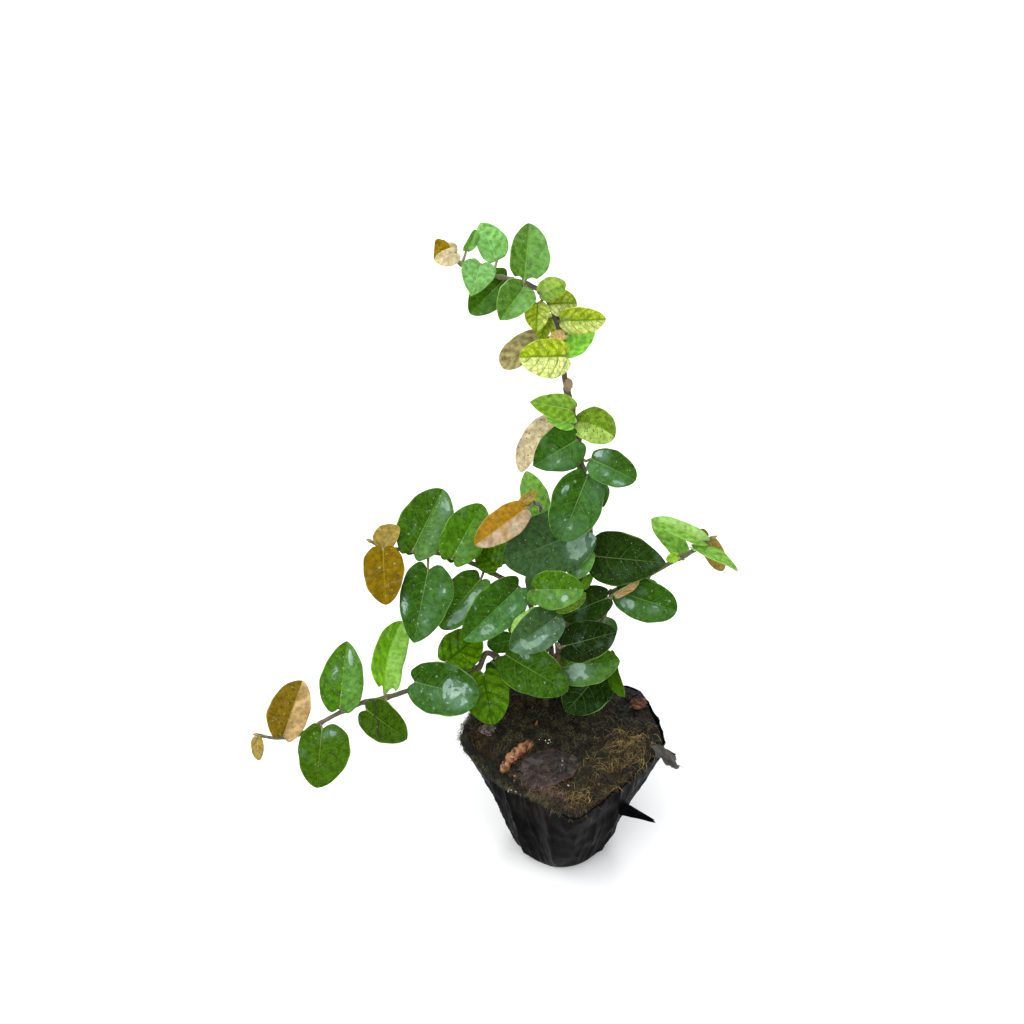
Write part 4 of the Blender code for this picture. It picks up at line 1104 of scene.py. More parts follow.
def make_strands():
    """Root fibres and moss: thin strands matted over the soil, each kind in its own places."""
    for number, (finish, zones) in enumerate(STRAND_ZONES.items()):
        draw = random.Random(STRAND_SEED + number)
        lengths, radii, arch, bend = STRAND_FORMS[finish]
        pile = Pile()
        for pixel, spread, count in zones:
            middle = seen_at_height(pixel, BAG_HEIGHT)
            for _ in range(count):
                x = middle.x + draw.gauss(0, STRAND_SPREAD) * spread * MM
                y = middle.y + draw.gauss(0, STRAND_SPREAD) * spread * MM
                edge = bag_radius(math.atan2(y, x), 1) - SOIL_INSET
                if math.hypot(x, y) > edge:
                    continue
                add_strand(pile, draw, x, y, draw.uniform(*lengths), draw.uniform(*radii), finish,
                           draw.uniform(*arch), bend)
        settle(pile.make(finish + "_strands"), [])


# The lip of soil and moss on the sunken rim: where it runs, its roll of soil with thickness and clods in mm,
# and how far its middle lies inside and below the rim
LIP_START = math.radians(140)
LIP_END = math.radians(268)
LIP_STEPS = 150
LIP_SIDES = 20
LIP_THICKNESS = 2.1
LIP_LEAST = 0.05
LIP_INSET = 1.2 * MM
LIP_DROP = 0.5 * MM
LIP_CLOD_REACH = 3
LIP_CLODS = [(0.45, 2.4), (0.35, 1.1)]
# Its strands: number, points of each, how far in and out over the rim they grow in mm, the height, half
# width and sinking of the roll that they grow on in mm, how they turn, tilt, wander, droop and step on, and
# their radii in mm
LIP_STRANDS = 2600
LIP_STRAND_POINTS = 6
LIP_OVER = (-2.2, 1.3)
LIP_HEIGHT = 1.9
LIP_HALF_WIDTH = 2.6
LIP_SINKING = 0.9
LIP_TURN = 1.6
LIP_TILT = (-0.7, 0.5)
LIP_WANDER = 0.35
LIP_DROOP = 0.22
LIP_STEP = (0.25, 0.6)
LIP_RADII = (0.03, 0.07)
LIP_KINDS = ["moss", "moss", "moss", "brown_fibre", "dark_moss"]
LIP_SEED = 12


def lip_swell(share):
    """How far the soil bulges over the rim, from nothing at both ends to the full bulge."""
    return math.sin(math.pi * share) ** 0.6


def add_lip_roll(pile):
    """The roll of soil that lies on the sunken rim, rough all over."""
    route = []
    radii = []
    for step in range(LIP_STEPS):
        share = step / (LIP_STEPS - 1)
        angle = LIP_START + (LIP_END - LIP_START) * share
        middle = Vector((*polar(bag_radius(angle, 1) - LIP_INSET, angle), rim_height(angle) - LIP_DROP))
        route.append(middle)
        ring = []
        for side in range(LIP_SIDES):
            upwards, outwards = polar(LIP_CLOD_REACH, turned(side, LIP_SIDES))
            spot = middle / MM + Vector((outwards, 0, upwards))
            clod = sum(height * noise.noise(spot / grain) for height, grain in LIP_CLODS)
            ring.append((LIP_THICKNESS * lip_swell(share) * (1 + clod) + LIP_LEAST) * MM)
        radii.append(ring)
    add_tube(pile, route, radii, "soil")


def make_moss_lip():
    """Moss and soil that bulge over the sunken rim on the left front, with strands that hang down."""
    draw = random.Random(LIP_SEED)
    pile = Pile()
    add_lip_roll(pile)
    for _ in range(LIP_STRANDS):
        angle = draw.uniform(LIP_START, LIP_END)
        share = (angle - LIP_START) / (LIP_END - LIP_START)
        over = draw.uniform(*LIP_OVER) * lip_swell(share)
        radius = bag_radius(angle, 1) + (over - 0.2) * MM
        round_top = math.sqrt(max(0, 1 - (over / LIP_HALF_WIDTH) ** 2))
        height = rim_height(angle) + (LIP_HEIGHT * round_top - LIP_SINKING) * MM
        bearing = angle + draw.uniform(-LIP_TURN, LIP_TURN)
        heading = Vector((*polar(1, bearing), draw.uniform(*LIP_TILT))).normalized()
        route = [Vector((*polar(radius, angle), height))]
        while len(route) < LIP_STRAND_POINTS:
            droop = Vector((draw.gauss(0, LIP_WANDER), draw.gauss(0, LIP_WANDER), -LIP_DROOP))
            heading = (heading + droop).normalized()
            route.append(route[-1] + heading * draw.uniform(*LIP_STEP) * MM)
        radii = [[draw.uniform(*LIP_RADII) * MM] * STRAND_SIDES] * LIP_STRAND_POINTS
        finish = draw.choice(LIP_KINDS)
        add_tube(pile, route, radii, finish, draw.random())
    settle(pile.make("moss_lip"), [])


# Loose crumbs: their number, how far towards the rim they lie, and their least and most size in mm; every
# so many is a chip of bark
CRUMB_COUNT = 1500
CRUMB_REACH = 0.98
CRUMB_SIZES = (0.2, 0.75)
CHIP_EVERY = 70
CRUMB_SEED = 5
# White grains: middle pixel and number, how far they scatter and how large they are in mm
GRAIN_SPOTS = [((545, 742), 9), ((512, 777), 4), ((466, 728), 4), ((519, 782), 3), ((600, 704), 3),
               ((493, 731), 2), ((568, 786), 3), ((563, 768), 2)]
GRAIN_SCATTER = 0.9
GRAIN_SIZES = (0.12, 0.32)
# A lump's least and most stretch each way, and how deep and how coarse its dents are
LUMP_STRETCH = [(0.7, 1.6), (0.6, 1.1), (0.5, 0.9)]
LUMP_DENT = 0.35
LUMP_GRAIN = 1.7
LUMP_POINTS, LUMP_FACES = ball(2)


def add_lump(pile, draw, x, y, size, finish, lift=0.3):
    """One small lump of an irregular shape that lies on the soil."""
    turn = Matrix.Rotation(draw.uniform(0, TURN), 3, Vector((draw.random(), draw.random(), 1)))
    place = Vector((x, y, soil_skin(x, y) + size * lift))
    stretch = Vector([draw.uniform(*span) for span in LUMP_STRETCH])
    shift = Vector((draw.uniform(0, 50), 0, 0))
    points = []
    for corner in LUMP_POINTS:
        bump = 1 + LUMP_DENT * noise.noise(corner * LUMP_GRAIN + shift)
        flat = Vector(corner[axis] * stretch[axis] for axis in range(3))
        points.append(tuple(place + turn @ flat * size * bump))
    pile.add(points, LUMP_FACES, finish, None, one_tone(draw.random(), points))


def make_crumbs():
    """Loose crumbs of soil, chips of bark and a few white grains."""
    draw = random.Random(CRUMB_SEED)
    pile = Pile()
    for index in range(CRUMB_COUNT):
        x, y = inside_rim(draw, CRUMB_REACH)
        finish = "chip" if index % CHIP_EVERY == 0 else "crumb"
        add_lump(pile, draw, x, y, draw.uniform(*CRUMB_SIZES) * MM, finish)
    for pixel, count in GRAIN_SPOTS:
        middle = seen_at_height(pixel, BAG_HEIGHT + 1 * MM)
        for _ in range(count):
            x = middle.x + draw.gauss(0, GRAIN_SCATTER) * MM
            y = middle.y + draw.gauss(0, GRAIN_SCATTER) * MM
            add_lump(pile, draw, x, y, draw.uniform(*GRAIN_SIZES) * MM, "grain", lift=2)
    settle(pile.make("soil_crumbs"), [])


# Litter

LITTER_LEAVES = {
    # middle pixel, length and width in mm, direction in degrees, curl across in degrees, finish
    "litter_dead_leaf": ((551, 772), 19, 16, -75, 4, "litter_dead"),
    "litter_grey_leaf": ((486, 732), 6, 4, 60, 10, "litter_grey"),
}
LITTER_THICKNESS = 0.3 * MM
LITTER_REST = 0.9 * MM
LITTER_RAGGED = 0.16
# Wrinkles of a fallen leaf: grain and height in mm of the coarse, the fine and the sharp ones
LITTER_COARSE = (2.4, 0.8)
LITTER_FINE = (0.8, 0.3)
LITTER_SHARP = (0.45, 0.2)
# A leaf rolled up along its length: middle pixel, length and width in mm, direction in degrees
ROLLED_LEAF = ((517, 757), 12.8, 4.4, -54)
ROLL_REST = 1.7 * MM
ROLL_STEPS = 60
ROLL_SIDES = 24
ROLL_BLUNTNESS = 0.45
# Its ridges: their number and depth, its dents, and its free edge: height, and place and width in radians
ROLL_FOLDS = 5
ROLL_FOLD_DEPTH = 0.22
ROLL_DENT = 0.22
ROLL_FINE_DENT = 0.1
ROLL_LIP = 0.25
ROLL_LIP_ANGLE = 1.2
ROLL_LIP_WIDTH = 0.22
# The clump of bark: middle, reach, how high it lies, how far its chips spread and how they are lifted in mm,
# their number, the turn in radians from one to the next, and their least and most half sizes in mm
BARK_PIXEL = (638, 706)
BARK_RADIUS = 3.2 * MM
BARK_REST = 1.3 * MM
BARK_SPREAD = 0.75
BARK_LIFT = (-0.3, 0.5)
BARK_CHIPS = 22
BARK_TURN = 2.4
BARK_CHIP_SIZES = [(0.8, 1.5), (0.5, 0.9), (0.3, 0.6)]
BARK_SEED = 4
# The loose chip: middle pixel, and its points in mm from there with their radii in mm
LOOSE_CHIP_PIXEL = (536, 726)
LOOSE_CHIP_SIDES = 6
LOOSE_CHIP_TONE = 0.9
LOOSE_CHIP = [((-0.7, -0.5, -1.5), 1), ((0, 0, 0), 0.85), ((0.5, 0.6, 2.2), 0.15)]

# Scraps of torn film: pixel and mm towards the viewer at the root and at the end, spread in mm to the right,
# upwards and towards the viewer, finish, seed, taper and tatter. The first two are the flap, and the last is
# the ear
SCRAPS = [
    (((656, 746), 7), ((677, 768), 4), (5, 0, 2), "dusty_film", 3, 0.3, 0.2),
    (((655, 750), 6), ((676, 757), 4), (0, 4.5, 1), "dusty_film", 8, 0.5, 0.2),
    (((618, 806), 3), ((654, 821), 1), (0, 5.5, 0), "film", 5, 0.8, 0.05),
]
SCRAP_ROWS = 16
SCRAP_COLUMNS = 12
SCRAP_THICKNESS = 0.12
# Crumpling of a scrap: how fine it is, where its noise is read, and its height in mm
SCRAP_FOLDS = [(3.1, 0, 1.6), (8, 3, 0.5)]


def make_litter_leaf(name, pixel, length, width, turn, curl, finish):
    """A fallen leaf, curled and wrinkled, that lies on the soil."""
    middle = seen_at_height(pixel, BAG_HEIGHT)
    heading = Matrix.Rotation(math.radians(turn), 3, "Z")
    grains = [wrinkle[0] for wrinkle in (LITTER_COARSE, LITTER_FINE, LITTER_SHARP)]
    side, along = blade_grid()
    upper = []
    for s, t in zip(side.ravel(), along.ravel()):
        across = s * half_width(t) * width * MM / 2
        ragged = 1 + LITTER_RAGGED * noise.noise(Vector((t * 4, s * 2, length)))
        spot = heading @ Vector((across * ragged, (t - 0.5) * length * MM, 0)) + middle
        coarse, fine, sharp = [noise.noise(spot / (grain * MM)) for grain in grains]
        fine_wrinkle = fine * LITTER_FINE[1] + abs(sharp) * LITTER_SHARP[1]
        wrinkle = (coarse * LITTER_COARSE[1] + fine_wrinkle) * MM
        rise = abs(across) * math.tan(math.radians(curl))
        upper.append((spot.x, spot.y, soil_top(spot.x, spot.y) + LITTER_REST + rise + wrinkle))
    upper = np.array(upper)
    under = upper - np.array((0, 0, LITTER_THICKNESS))
    pattern = np.stack([side.ravel(), along.ravel(), np.ones(side.size)], axis=-1)
    pile = Pile()
    pile.add(np.concatenate([upper, under]), sheet_faces(*side.shape), finish,
             np.concatenate([pattern, pattern]))
    settle(pile.make(name + "_finish"), [name])


def make_rolled_leaf():
    """A copper leaf that has rolled up and dried in ridges across its length."""
    pixel, length, width, turn = ROLLED_LEAF
    middle = seen_at_height(pixel, BAG_HEIGHT)
    ahead = Matrix.Rotation(math.radians(turn), 3, "Z") @ Vector((0, 1, 0))
    route = []
    radii = []
    for step in range(ROLL_STEPS):
        share = step / (ROLL_STEPS - 1)
        spot = middle + ahead * (share - 0.5) * length * MM
        full = 0.5 * width * (math.sin(math.pi * (0.06 + 0.9 * share)) ** ROLL_BLUNTNESS)
        fold = 1 - ROLL_FOLD_DEPTH * abs(math.cos(math.pi * ROLL_FOLDS * share)) ** 5
        route.append(Vector((spot.x, spot.y, soil_top(spot.x, spot.y) + ROLL_REST)))
        ring = []
        for side in range(ROLL_SIDES):
            around = turned(side, ROLL_SIDES)
            place = Vector((share * 7, *polar(1.3, around)))
            dent = ROLL_DENT * noise.noise(place) + ROLL_FINE_DENT * noise.noise(place * 3)
            lip = ROLL_LIP * math.exp(-((around - ROLL_LIP_ANGLE) / ROLL_LIP_WIDTH) ** 2)
            ring.append(full * fold * (1 + dent + lip) * MM)
        radii.append(ring)
    pile = Pile()
    add_tube(pile, route, radii, "litter_copper")
    settle(pile.make("litter_copper_curl_finish"), ["litter_copper_curl"])


def make_bark():
    """A reddish clump of bark chips by the right edge of the soil."""
    middle = seen_at_height(BARK_PIXEL, BAG_HEIGHT)
    draw = random.Random(BARK_SEED)
    seat = soil_top(middle.x, middle.y) + BARK_REST
    pile = Pile()
    for index in range(BARK_CHIPS):
        axis = Vector((draw.random(), draw.random(), draw.random()))
        turn = Matrix.Rotation(draw.uniform(0, 2 * math.pi), 3, axis)
        reach = BARK_RADIUS * BARK_SPREAD * math.sqrt(index / BARK_CHIPS)
        aside, ahead = polar(reach, index * BARK_TURN)
        place = Vector((middle.x + aside, middle.y + ahead, seat + draw.uniform(*BARK_LIFT) * MM))
        size = Vector([draw.uniform(*span) for span in BARK_CHIP_SIZES]) * MM
        points = []
        for vert, rough in zip(BALL_POINTS, BALL_ROUGHNESS):
            shape = Vector(vert[axis] * size[axis] * rough ** 1.5 for axis in range(3))
            points.append(tuple(place + turn @ shape))
        pile.add(points, BALL_FACES, "bark_chip", None, one_tone(draw.random(), points))
    settle(pile.make("litter_bark_finish"), ["litter_bark"])


def make_loose_chip():
    """A reddish chip that stands in the soil."""
    spot = seen_at_height(LOOSE_CHIP_PIXEL, BAG_HEIGHT + 1.5 * MM)
    route = [spot + Vector(place) * MM for place, radius in LOOSE_CHIP]
    radii = [[radius * MM] * LOOSE_CHIP_SIDES for place, radius in LOOSE_CHIP]
    pile = Pile()
    add_tube(pile, route, radii, "chip", LOOSE_CHIP_TONE)
    settle(pile.make("loose_chip"), [])


def add_scrap(pile, corner, ahead, aside, finish, seed, taper, tatter):
    """A crumpled scrap of film: a small sheet spread by two directions from a corner."""
    draw = random.Random(seed)
    shift = Vector((draw.uniform(0, 9), draw.uniform(0, 9), 0))
    upper = []
    normal = ahead.cross(aside).normalized()
    for row in range(SCRAP_ROWS):
        for column in range(SCRAP_COLUMNS):
            down = row / (SCRAP_ROWS - 1)
            over = column / (SCRAP_COLUMNS - 1)
            spot = corner + ahead * down + aside * (over - 0.5) * (1 - taper * down)
            fold = sum(noise.noise(Vector((down * fineness, over * fineness, level)) + shift) * height
                       for fineness, level, height in SCRAP_FOLDS)
            ragged = noise.noise(Vector((over * 4, 0, 5)) + shift) * tatter * down
            upper.append(tuple(spot + normal * fold * MM + ahead * ragged))
    upper = np.array(upper)
    under = upper - np.array(normal) * SCRAP_THICKNESS * MM
    pile.add(np.concatenate([upper, under]), sheet_faces(SCRAP_ROWS, SCRAP_COLUMNS), finish)


def make_torn_film():
    """The bag's torn edge: a dusty, crumpled flap on the right, and a folded ear lower down."""
    pile = Pile()
    for root, end, (right, up, near), finish, seed, taper, tatter in SCRAPS:
        corner = seen(*root)
        aside = RIGHT * right * MM + UP * up * MM + TOWARDS * near * MM
        add_scrap(pile, corner, seen(*end) - corner, aside, finish, seed, taper, tatter)
    settle(pile.make("torn_film"), [])


def make_dark_strand():
    """A thin dark strand that hangs over a leaf of the lower left spray."""
    route = [seen(pixel, near) for pixel, near in DARK_STRAND]
    smooth = smooth_route(route, DARK_STRAND_STEP)
    draw = random.Random(DARK_STRAND_SEED)
    radii = [[draw.uniform(*DARK_STRAND_RADII) * MM] * DARK_STRAND_SIDES for _ in smooth]
    pile = Pile()
    add_tube(pile, smooth, radii, "tendril", draw.random())
    settle(pile.make("dark_strand"), [])


# Finishes

class Paint:
    """Builds one procedural material out of small steps."""

    def __init__(self, name):
        self.made = bpy.data.materials.new(name)
        self.made.use_nodes = True
        self.tree = self.made.node_tree
        self.shader = self.tree.nodes["Principled BSDF"]

    def node(self, kind, **values):
        """A node with its settings and the defaults of its inputs."""
        made = self.tree.nodes.new(kind)
        for key, value in values.items():
            if key in made.inputs:
                made.inputs[key].default_value = value
            else:
                setattr(made, key, value)
        return made

    def link(self, source, target):
        """Join a result to an input."""
        self.tree.links.new(source, target)

    def attribute(self, name):
        """The three numbers of a point attribute."""
        found = self.node("ShaderNodeAttribute", attribute_name=name)
        split = self.node("ShaderNodeSeparateXYZ")
        self.link(found.outputs["Vector"], split.inputs[0])
        return found.outputs["Vector"], split.outputs

    def math(self, operation, first, second=None, clamp=False):
        """One sum, whose terms are numbers or other nodes' results."""
        made = self.node("ShaderNodeMath", operation=operation, use_clamp=clamp)
        for index, term in enumerate((first, second)):
            if term is None:
                continue
            if isinstance(term, (int, float)):
                made.inputs[index].default_value = term
            else:
                self.link(term, made.inputs[index])
        return made.outputs[0]

    def ramp(self, value, low, high, out_low=0, out_high=1):
        """A value's stretch from low to high, spread smoothly from one result to another."""
        made = self.node("ShaderNodeMapRange", interpolation_type="SMOOTHSTEP")
        self.link(value, made.inputs["Value"])
        made.inputs["From Min"].default_value = low
        made.inputs["From Max"].default_value = high
        made.inputs["To Min"].default_value = out_low
        made.inputs["To Max"].default_value = out_high
        return made.outputs[0]

    def noise(self, vector, scale, detail=3, distortion=0):
        """A cloudy pattern from 0 to 1."""
        made = self.node("ShaderNodeTexNoise", Scale=scale, Detail=detail, Distortion=distortion)
        self.link(vector, made.inputs["Vector"])
        return made.outputs["Fac"]

    def cloud(self, vector, name):
        """One of the named cloudy patterns."""
        scale, detail, distortion, low, high, out_low, out_high = CLOUDS[name]
        return self.ramp(self.noise(vector, scale, detail, distortion), low, high, out_low, out_high)

    def cells(self, vector, scale, feature="F1"):
        """Distances in a pattern of cells."""
        made = self.node("ShaderNodeTexVoronoi", feature=feature, Scale=scale)
        self.link(vector, made.inputs["Vector"])
        return made.outputs["Distance"]

    def mix(self, share, first, second):
        """A blend of two colours, each a colour or another node's result."""
        made = self.node("ShaderNodeMix", data_type="RGBA")
        self.link(share, made.inputs["Factor"])
        for socket, colour in ((made.inputs[6], first), (made.inputs[7], second)):
            if isinstance(colour, tuple):
                socket.default_value = (*colour, 1)
            else:
                self.link(colour, socket)
        return made.outputs[2]

    def place(self):
        """The place on the plant itself, in metres."""
        return self.node("ShaderNodeTexCoord").outputs["Object"]

    def colour(self, result):
        """Colour the surface by a result."""
        self.link(result, self.shader.inputs["Base Color"])

    def roughness(self, result):
        """Vary how rough the surface is by a result."""
        self.link(result, self.shader.inputs["Roughness"])

    def bump(self, height, strength, distance):
        """Raise the surface by a pattern."""
        made = self.node("ShaderNodeBump", Strength=strength, Distance=distance)
        self.link(height, made.inputs["Height"])
        self.link(made.outputs[0], self.shader.inputs["Normal"])

    def set(self, **values):
        """Plain values on the shader's own sockets."""
        for key, value in values.items():
            self.shader.inputs[key.replace("_", " ")].default_value = value


# Cloudy patterns: scale, detail and distortion of the noise, the least and most of it that count, and the
# results for these. Those on leaves and stems are laid out in pattern units, the others in metres
CLOUDS = {
    # The next six shape the painted sheen, wet highlights and glints on leaves, and the painted sheen on one
    # half
    "broad_sheen": (1.6, 2, 0, 0.56, 0.8, 0, 0.28),
    "ragged_highlight": (2.4, 3, 0.7, 0.38, 0.6, 0.2, 1.35),
    "highlight_streaks": (6.0, 3, 0.4, 0.4, 0.6, 0.6, 1),
    "highlight_depth": (1.8, 1, 0, 0.35, 0.65, 0.35, 0.85),
    "sparkle": (24.0, 1, 0, 0.73, 0.78, 0, 1),
    "sheen_half_patches": (1.8, 3, 0, 0.3, 0.7, 0.5, 1.25),
    "mottle": (6.5, 4, 0.4, 0.3, 0.7, 0.72, 1.3),
    "lit_rim": (1.3, 3, 0, 0.38, 0.62, 0.1, 0.75),
    "bark_streaks": (6.0, 4, 0, 0.3, 0.7, 0, 0.65),
    "film_dust": (160, 5, 0, 0.5, 0.72, 0, 0.6),
    "film_red": (55, 2, 0, 0.55, 0.7, 0, 0.5),
    "film_scuffs": (90, 4, 0, 0.3, 0.7, 0.3, 0.5),
    "soil_brown": (140, 5, 0, 0.42, 0.62, 0, 1),
    "soil_green": (70, 4, 0, 0.5, 0.66, 0, 1),
    "strand_patches": (260, 3, 0, 0.38, 0.6, 0.2, 1),
    "litter_blotches": (520, 6, 0.6, 0.38, 0.64, 0, 1),
    "litter_shine": (700, 3, 1.0, 0.62, 0.72, 0, 1),
}
# Each tone: main colour, second colour, colour of the painted sheen on a leaf's paler half, vein colour, how
# strong the veins are, how strong the fine net is, specks (0 to 1), roughness
TONES = {
    "dark": ((0.024, 0.077, 0.003), (0.014, 0.052, 0.001), (0.05, 0.135, 0.035), (0.12, 0.24, 0.07),
             0.5, 0.15, 0.05, 0.36),
    # dull: a grey green with a painted bluish sky sheen
    "dull": ((0.03, 0.07, 0.02), (0.022, 0.055, 0.012), (0.1, 0.17, 0.11), (0.1, 0.19, 0.08),
             0.4, 0.15, 0.05, 0.36),
    # deep: darker than the dark tone, partly painted shade for leaves that lie in the shade of others
    "deep": ((0.0115, 0.033, 0.002), (0.007, 0.022, 0.001), (0.03, 0.07, 0.01), (0.11, 0.18, 0.06),
             0.45, 0.12, 0.05, 0.38),
    "mid": ((0.046, 0.13, 0.003), (0.028, 0.09, 0.001), (0.11, 0.25, 0.06), (0.14, 0.27, 0.05),
            0.5, 0.25, 0.1, 0.36),
    "mottled": ((0.068, 0.155, 0.001), (0.035, 0.095, 0.0005), (0.1, 0.22, 0.02), (0.02, 0.06, 0.001),
                0.6, 0.9, 0.0, 0.4),
    "fresh": ((0.125, 0.29, 0.075), (0.08, 0.21, 0.035), (0.24, 0.45, 0.17), (0.28, 0.5, 0.2),
              0.15, 0.2, 0.03, 0.42),
    "leafy": ((0.085, 0.205, 0.02), (0.055, 0.15, 0.01), (0.17, 0.38, 0.1), (0.25, 0.42, 0.12),
              0.15, 0.2, 0.03, 0.42),
    "bright": ((0.1, 0.25, 0.006), (0.06, 0.175, 0.002), (0.22, 0.4, 0.09), (0.22, 0.4, 0.06),
               0.5, 0.25, 0.05, 0.34),
    "lime": ((0.15, 0.29, 0.02), (0.09, 0.19, 0.004), (0.25, 0.42, 0.09), (0.3, 0.45, 0.1),
             0.45, 0.25, 0.1, 0.38),
    "olive": ((0.032, 0.088, 0.001), (0.024, 0.066, 0.0005), (0.05, 0.12, 0.004), (0.13, 0.2, 0.02),
              0.6, 0.25, 0.1, 0.36),
    "spotted": ((0.1, 0.19, 0.008), (0.07, 0.14, 0.004), (0.26, 0.38, 0.08), (0.22, 0.32, 0.06),
                0.3, 0.3, 1.0, 0.42),
    "dotted": ((0.14, 0.3, 0.045), (0.07, 0.2, 0.012), (0.28, 0.45, 0.13), (0.3, 0.45, 0.1),
               0.45, 0.4, 0.3, 0.36),
    "yellow": ((0.4, 0.48, 0.035), (0.25, 0.34, 0.006), (0.66, 0.7, 0.26), (0.07, 0.14, 0.002),
               0.9, 1.0, 0.1, 0.4),
    "yellow_green": ((0.17, 0.29, 0.04), (0.11, 0.21, 0.012), (0.3, 0.45, 0.07), (0.3, 0.42, 0.06),
                     0.5, 0.3, 0.1, 0.4),
    "gold": ((0.145, 0.09, 0.0007), (0.11, 0.068, 0.0005), (0.17, 0.12, 0.005), (0.25, 0.19, 0.01),
             0.6, 0.15, 0.1, 0.34),
    "golden_tan": ((0.27, 0.19, 0.04), (0.19, 0.14, 0.02), (0.36, 0.27, 0.1), (0.38, 0.29, 0.11),
                   0.4, 0.25, 0.3, 0.4),
    "copper": ((0.135, 0.085, 0.002), (0.105, 0.075, 0.001), (0.4, 0.27, 0.13), (0.35, 0.25, 0.07),
               0.45, 0.25, 0.25, 0.34),
    "old_copper": ((0.26, 0.13, 0.009), (0.2, 0.115, 0.005), (0.33, 0.26, 0.18), (0.36, 0.22, 0.06),
                   0.5, 0.2, 0.3, 0.34),
    "tan": ((0.33, 0.23, 0.09), (0.2, 0.13, 0.035), (0.45, 0.35, 0.2), (0.48, 0.36, 0.19),
            0.5, 0.3, 0.3, 0.42),
    "straw": ((0.44, 0.37, 0.22), (0.36, 0.3, 0.16), (0.5, 0.43, 0.27), (0.55, 0.47, 0.3),
              0.3, 0.2, 0.0, 0.5),
    "olive_tan": ((0.29, 0.26, 0.1), (0.15, 0.11, 0.04), (0.42, 0.38, 0.17), (0.45, 0.4, 0.2),
                  0.3, 0.35, 0.2, 0.42),
    "beige": ((0.42, 0.35, 0.22), (0.33, 0.26, 0.13), (0.5, 0.42, 0.28), (0.52, 0.44, 0.3),
              0.3, 0.2, 0.9, 0.5),
}
LEAF_GLOSS = 0.02
# The next four are painted light on leaves: sky sheen on the under face, broad dull sheen, the bright wet
# highlight, and small glints
SKY_SHEEN = (0.02, 0.035, 0.02)
DAMP_SHEEN = (0.11, 0.2, 0.13)
WET_SHEEN = (0.3, 0.42, 0.34)
GLINT = (0.6, 0.75, 0.6)
SPECK = (0.06, 0.04, 0.015)
# What the thin rim adds to the colour of the veins: on green leaves, and on yellow leaves
RIM_GLOW = ((0.06, 0.09, 0.01), (0.45, 0.5, 0.1))
# The tint beside the veins, on the leaves whose veins stand out
VEIN_HALO = {
    "yellow": (0.17, 0.3, 0.008),
    "mottled": (0.024, 0.07, 0.001),
    "olive": (0.019, 0.052, 0.0005),
}
# Widths in the vein pattern: the side veins at the midrib and near the edge, the midrib's core and soft edge
# and how it thins out, and the fine net and its cells. Then how far the side veins wander
VEIN_WIDTHS = (0.06, 0.015)
MIDRIB_WIDTHS = (0.007, 0.025)
MIDRIB_THINNING = 0.015
NET_WIDTH = 0.14
NET_CELLS = 7.0
VEIN_WOBBLE = 0.16
# How much of their colour the side veins and the net have beside the midrib
VEIN_SHARE = 0.7
NET_SHARE = 0.5
MIDRIB_EXTRA = 0.3
# How much lighter the under face is than the veins
UNDER_LIGHT = 1.1
# Ramps on leaves: least and most of a value, and the results for these where they aren't 0 and 1
BLISTERS = (0.4, 0.95, 1, 0)
BESIDE_MIDRIB = (0.012, 0.06, 0.85, 0)
BESIDE_VEINS = (0.02, 0.15, 0.65, 0)
# The painted sheen round the wet highlights, and the sharp edge of the painted wet highlight
SHEEN_HALO = (0.02, 0.7, 0, 0.6)
HIGHLIGHT_EDGE = (0.32, 0.44)
LIT_EDGE = (0.945, 0.985)
GLINT_SHARE = 0.4
# How far a leaf's roughness goes below and above its own, and the share of it that clear water takes
SMOOTHER = 0.14
ROUGHER = 0.1
FILM_SMOOTHING = 0.5


def leaf_veins(paint, flat, flat_x, away, along):
    """The vein pattern: how near a side vein is, then the side veins, the midrib and the fine net."""
    shift = paint.math("MULTIPLY", away, -VEIN_SWEEP)
    curved = paint.math("MULTIPLY", paint.math("MULTIPLY", away, away), -VEIN_CURVE)
    reach = paint.math("ADD", paint.math("ADD", along, shift), curved)
    phase = paint.math("ADD", paint.math("MULTIPLY", reach, VEIN_PAIRS), VEIN_START)
    wander = paint.math("MULTIPLY", paint.noise(flat, 3.0), VEIN_WOBBLE)
    wobble = paint.math("SUBTRACT", wander, VEIN_WOBBLE / 2)
    ripple = paint.math("PINGPONG", paint.math("ADD", phase, wobble), 0.5)
    thin_out = paint.ramp(away, 0.0, 0.9, *VEIN_WIDTHS)
    lateral = paint.math("SUBTRACT", 1.0, paint.math("DIVIDE", ripple, thin_out), clamp=True)
    thinning = paint.math("MULTIPLY", along, MIDRIB_THINNING)
    midrib_reach = paint.math("ADD", paint.math("ABSOLUTE", flat_x), thinning)
    midrib = paint.ramp(midrib_reach, *MIDRIB_WIDTHS, 1, 0)
    net = paint.ramp(paint.cells(flat, NET_CELLS, "DISTANCE_TO_EDGE"), 0.0, NET_WIDTH, 1, 0)
    return ripple, lateral, midrib, net


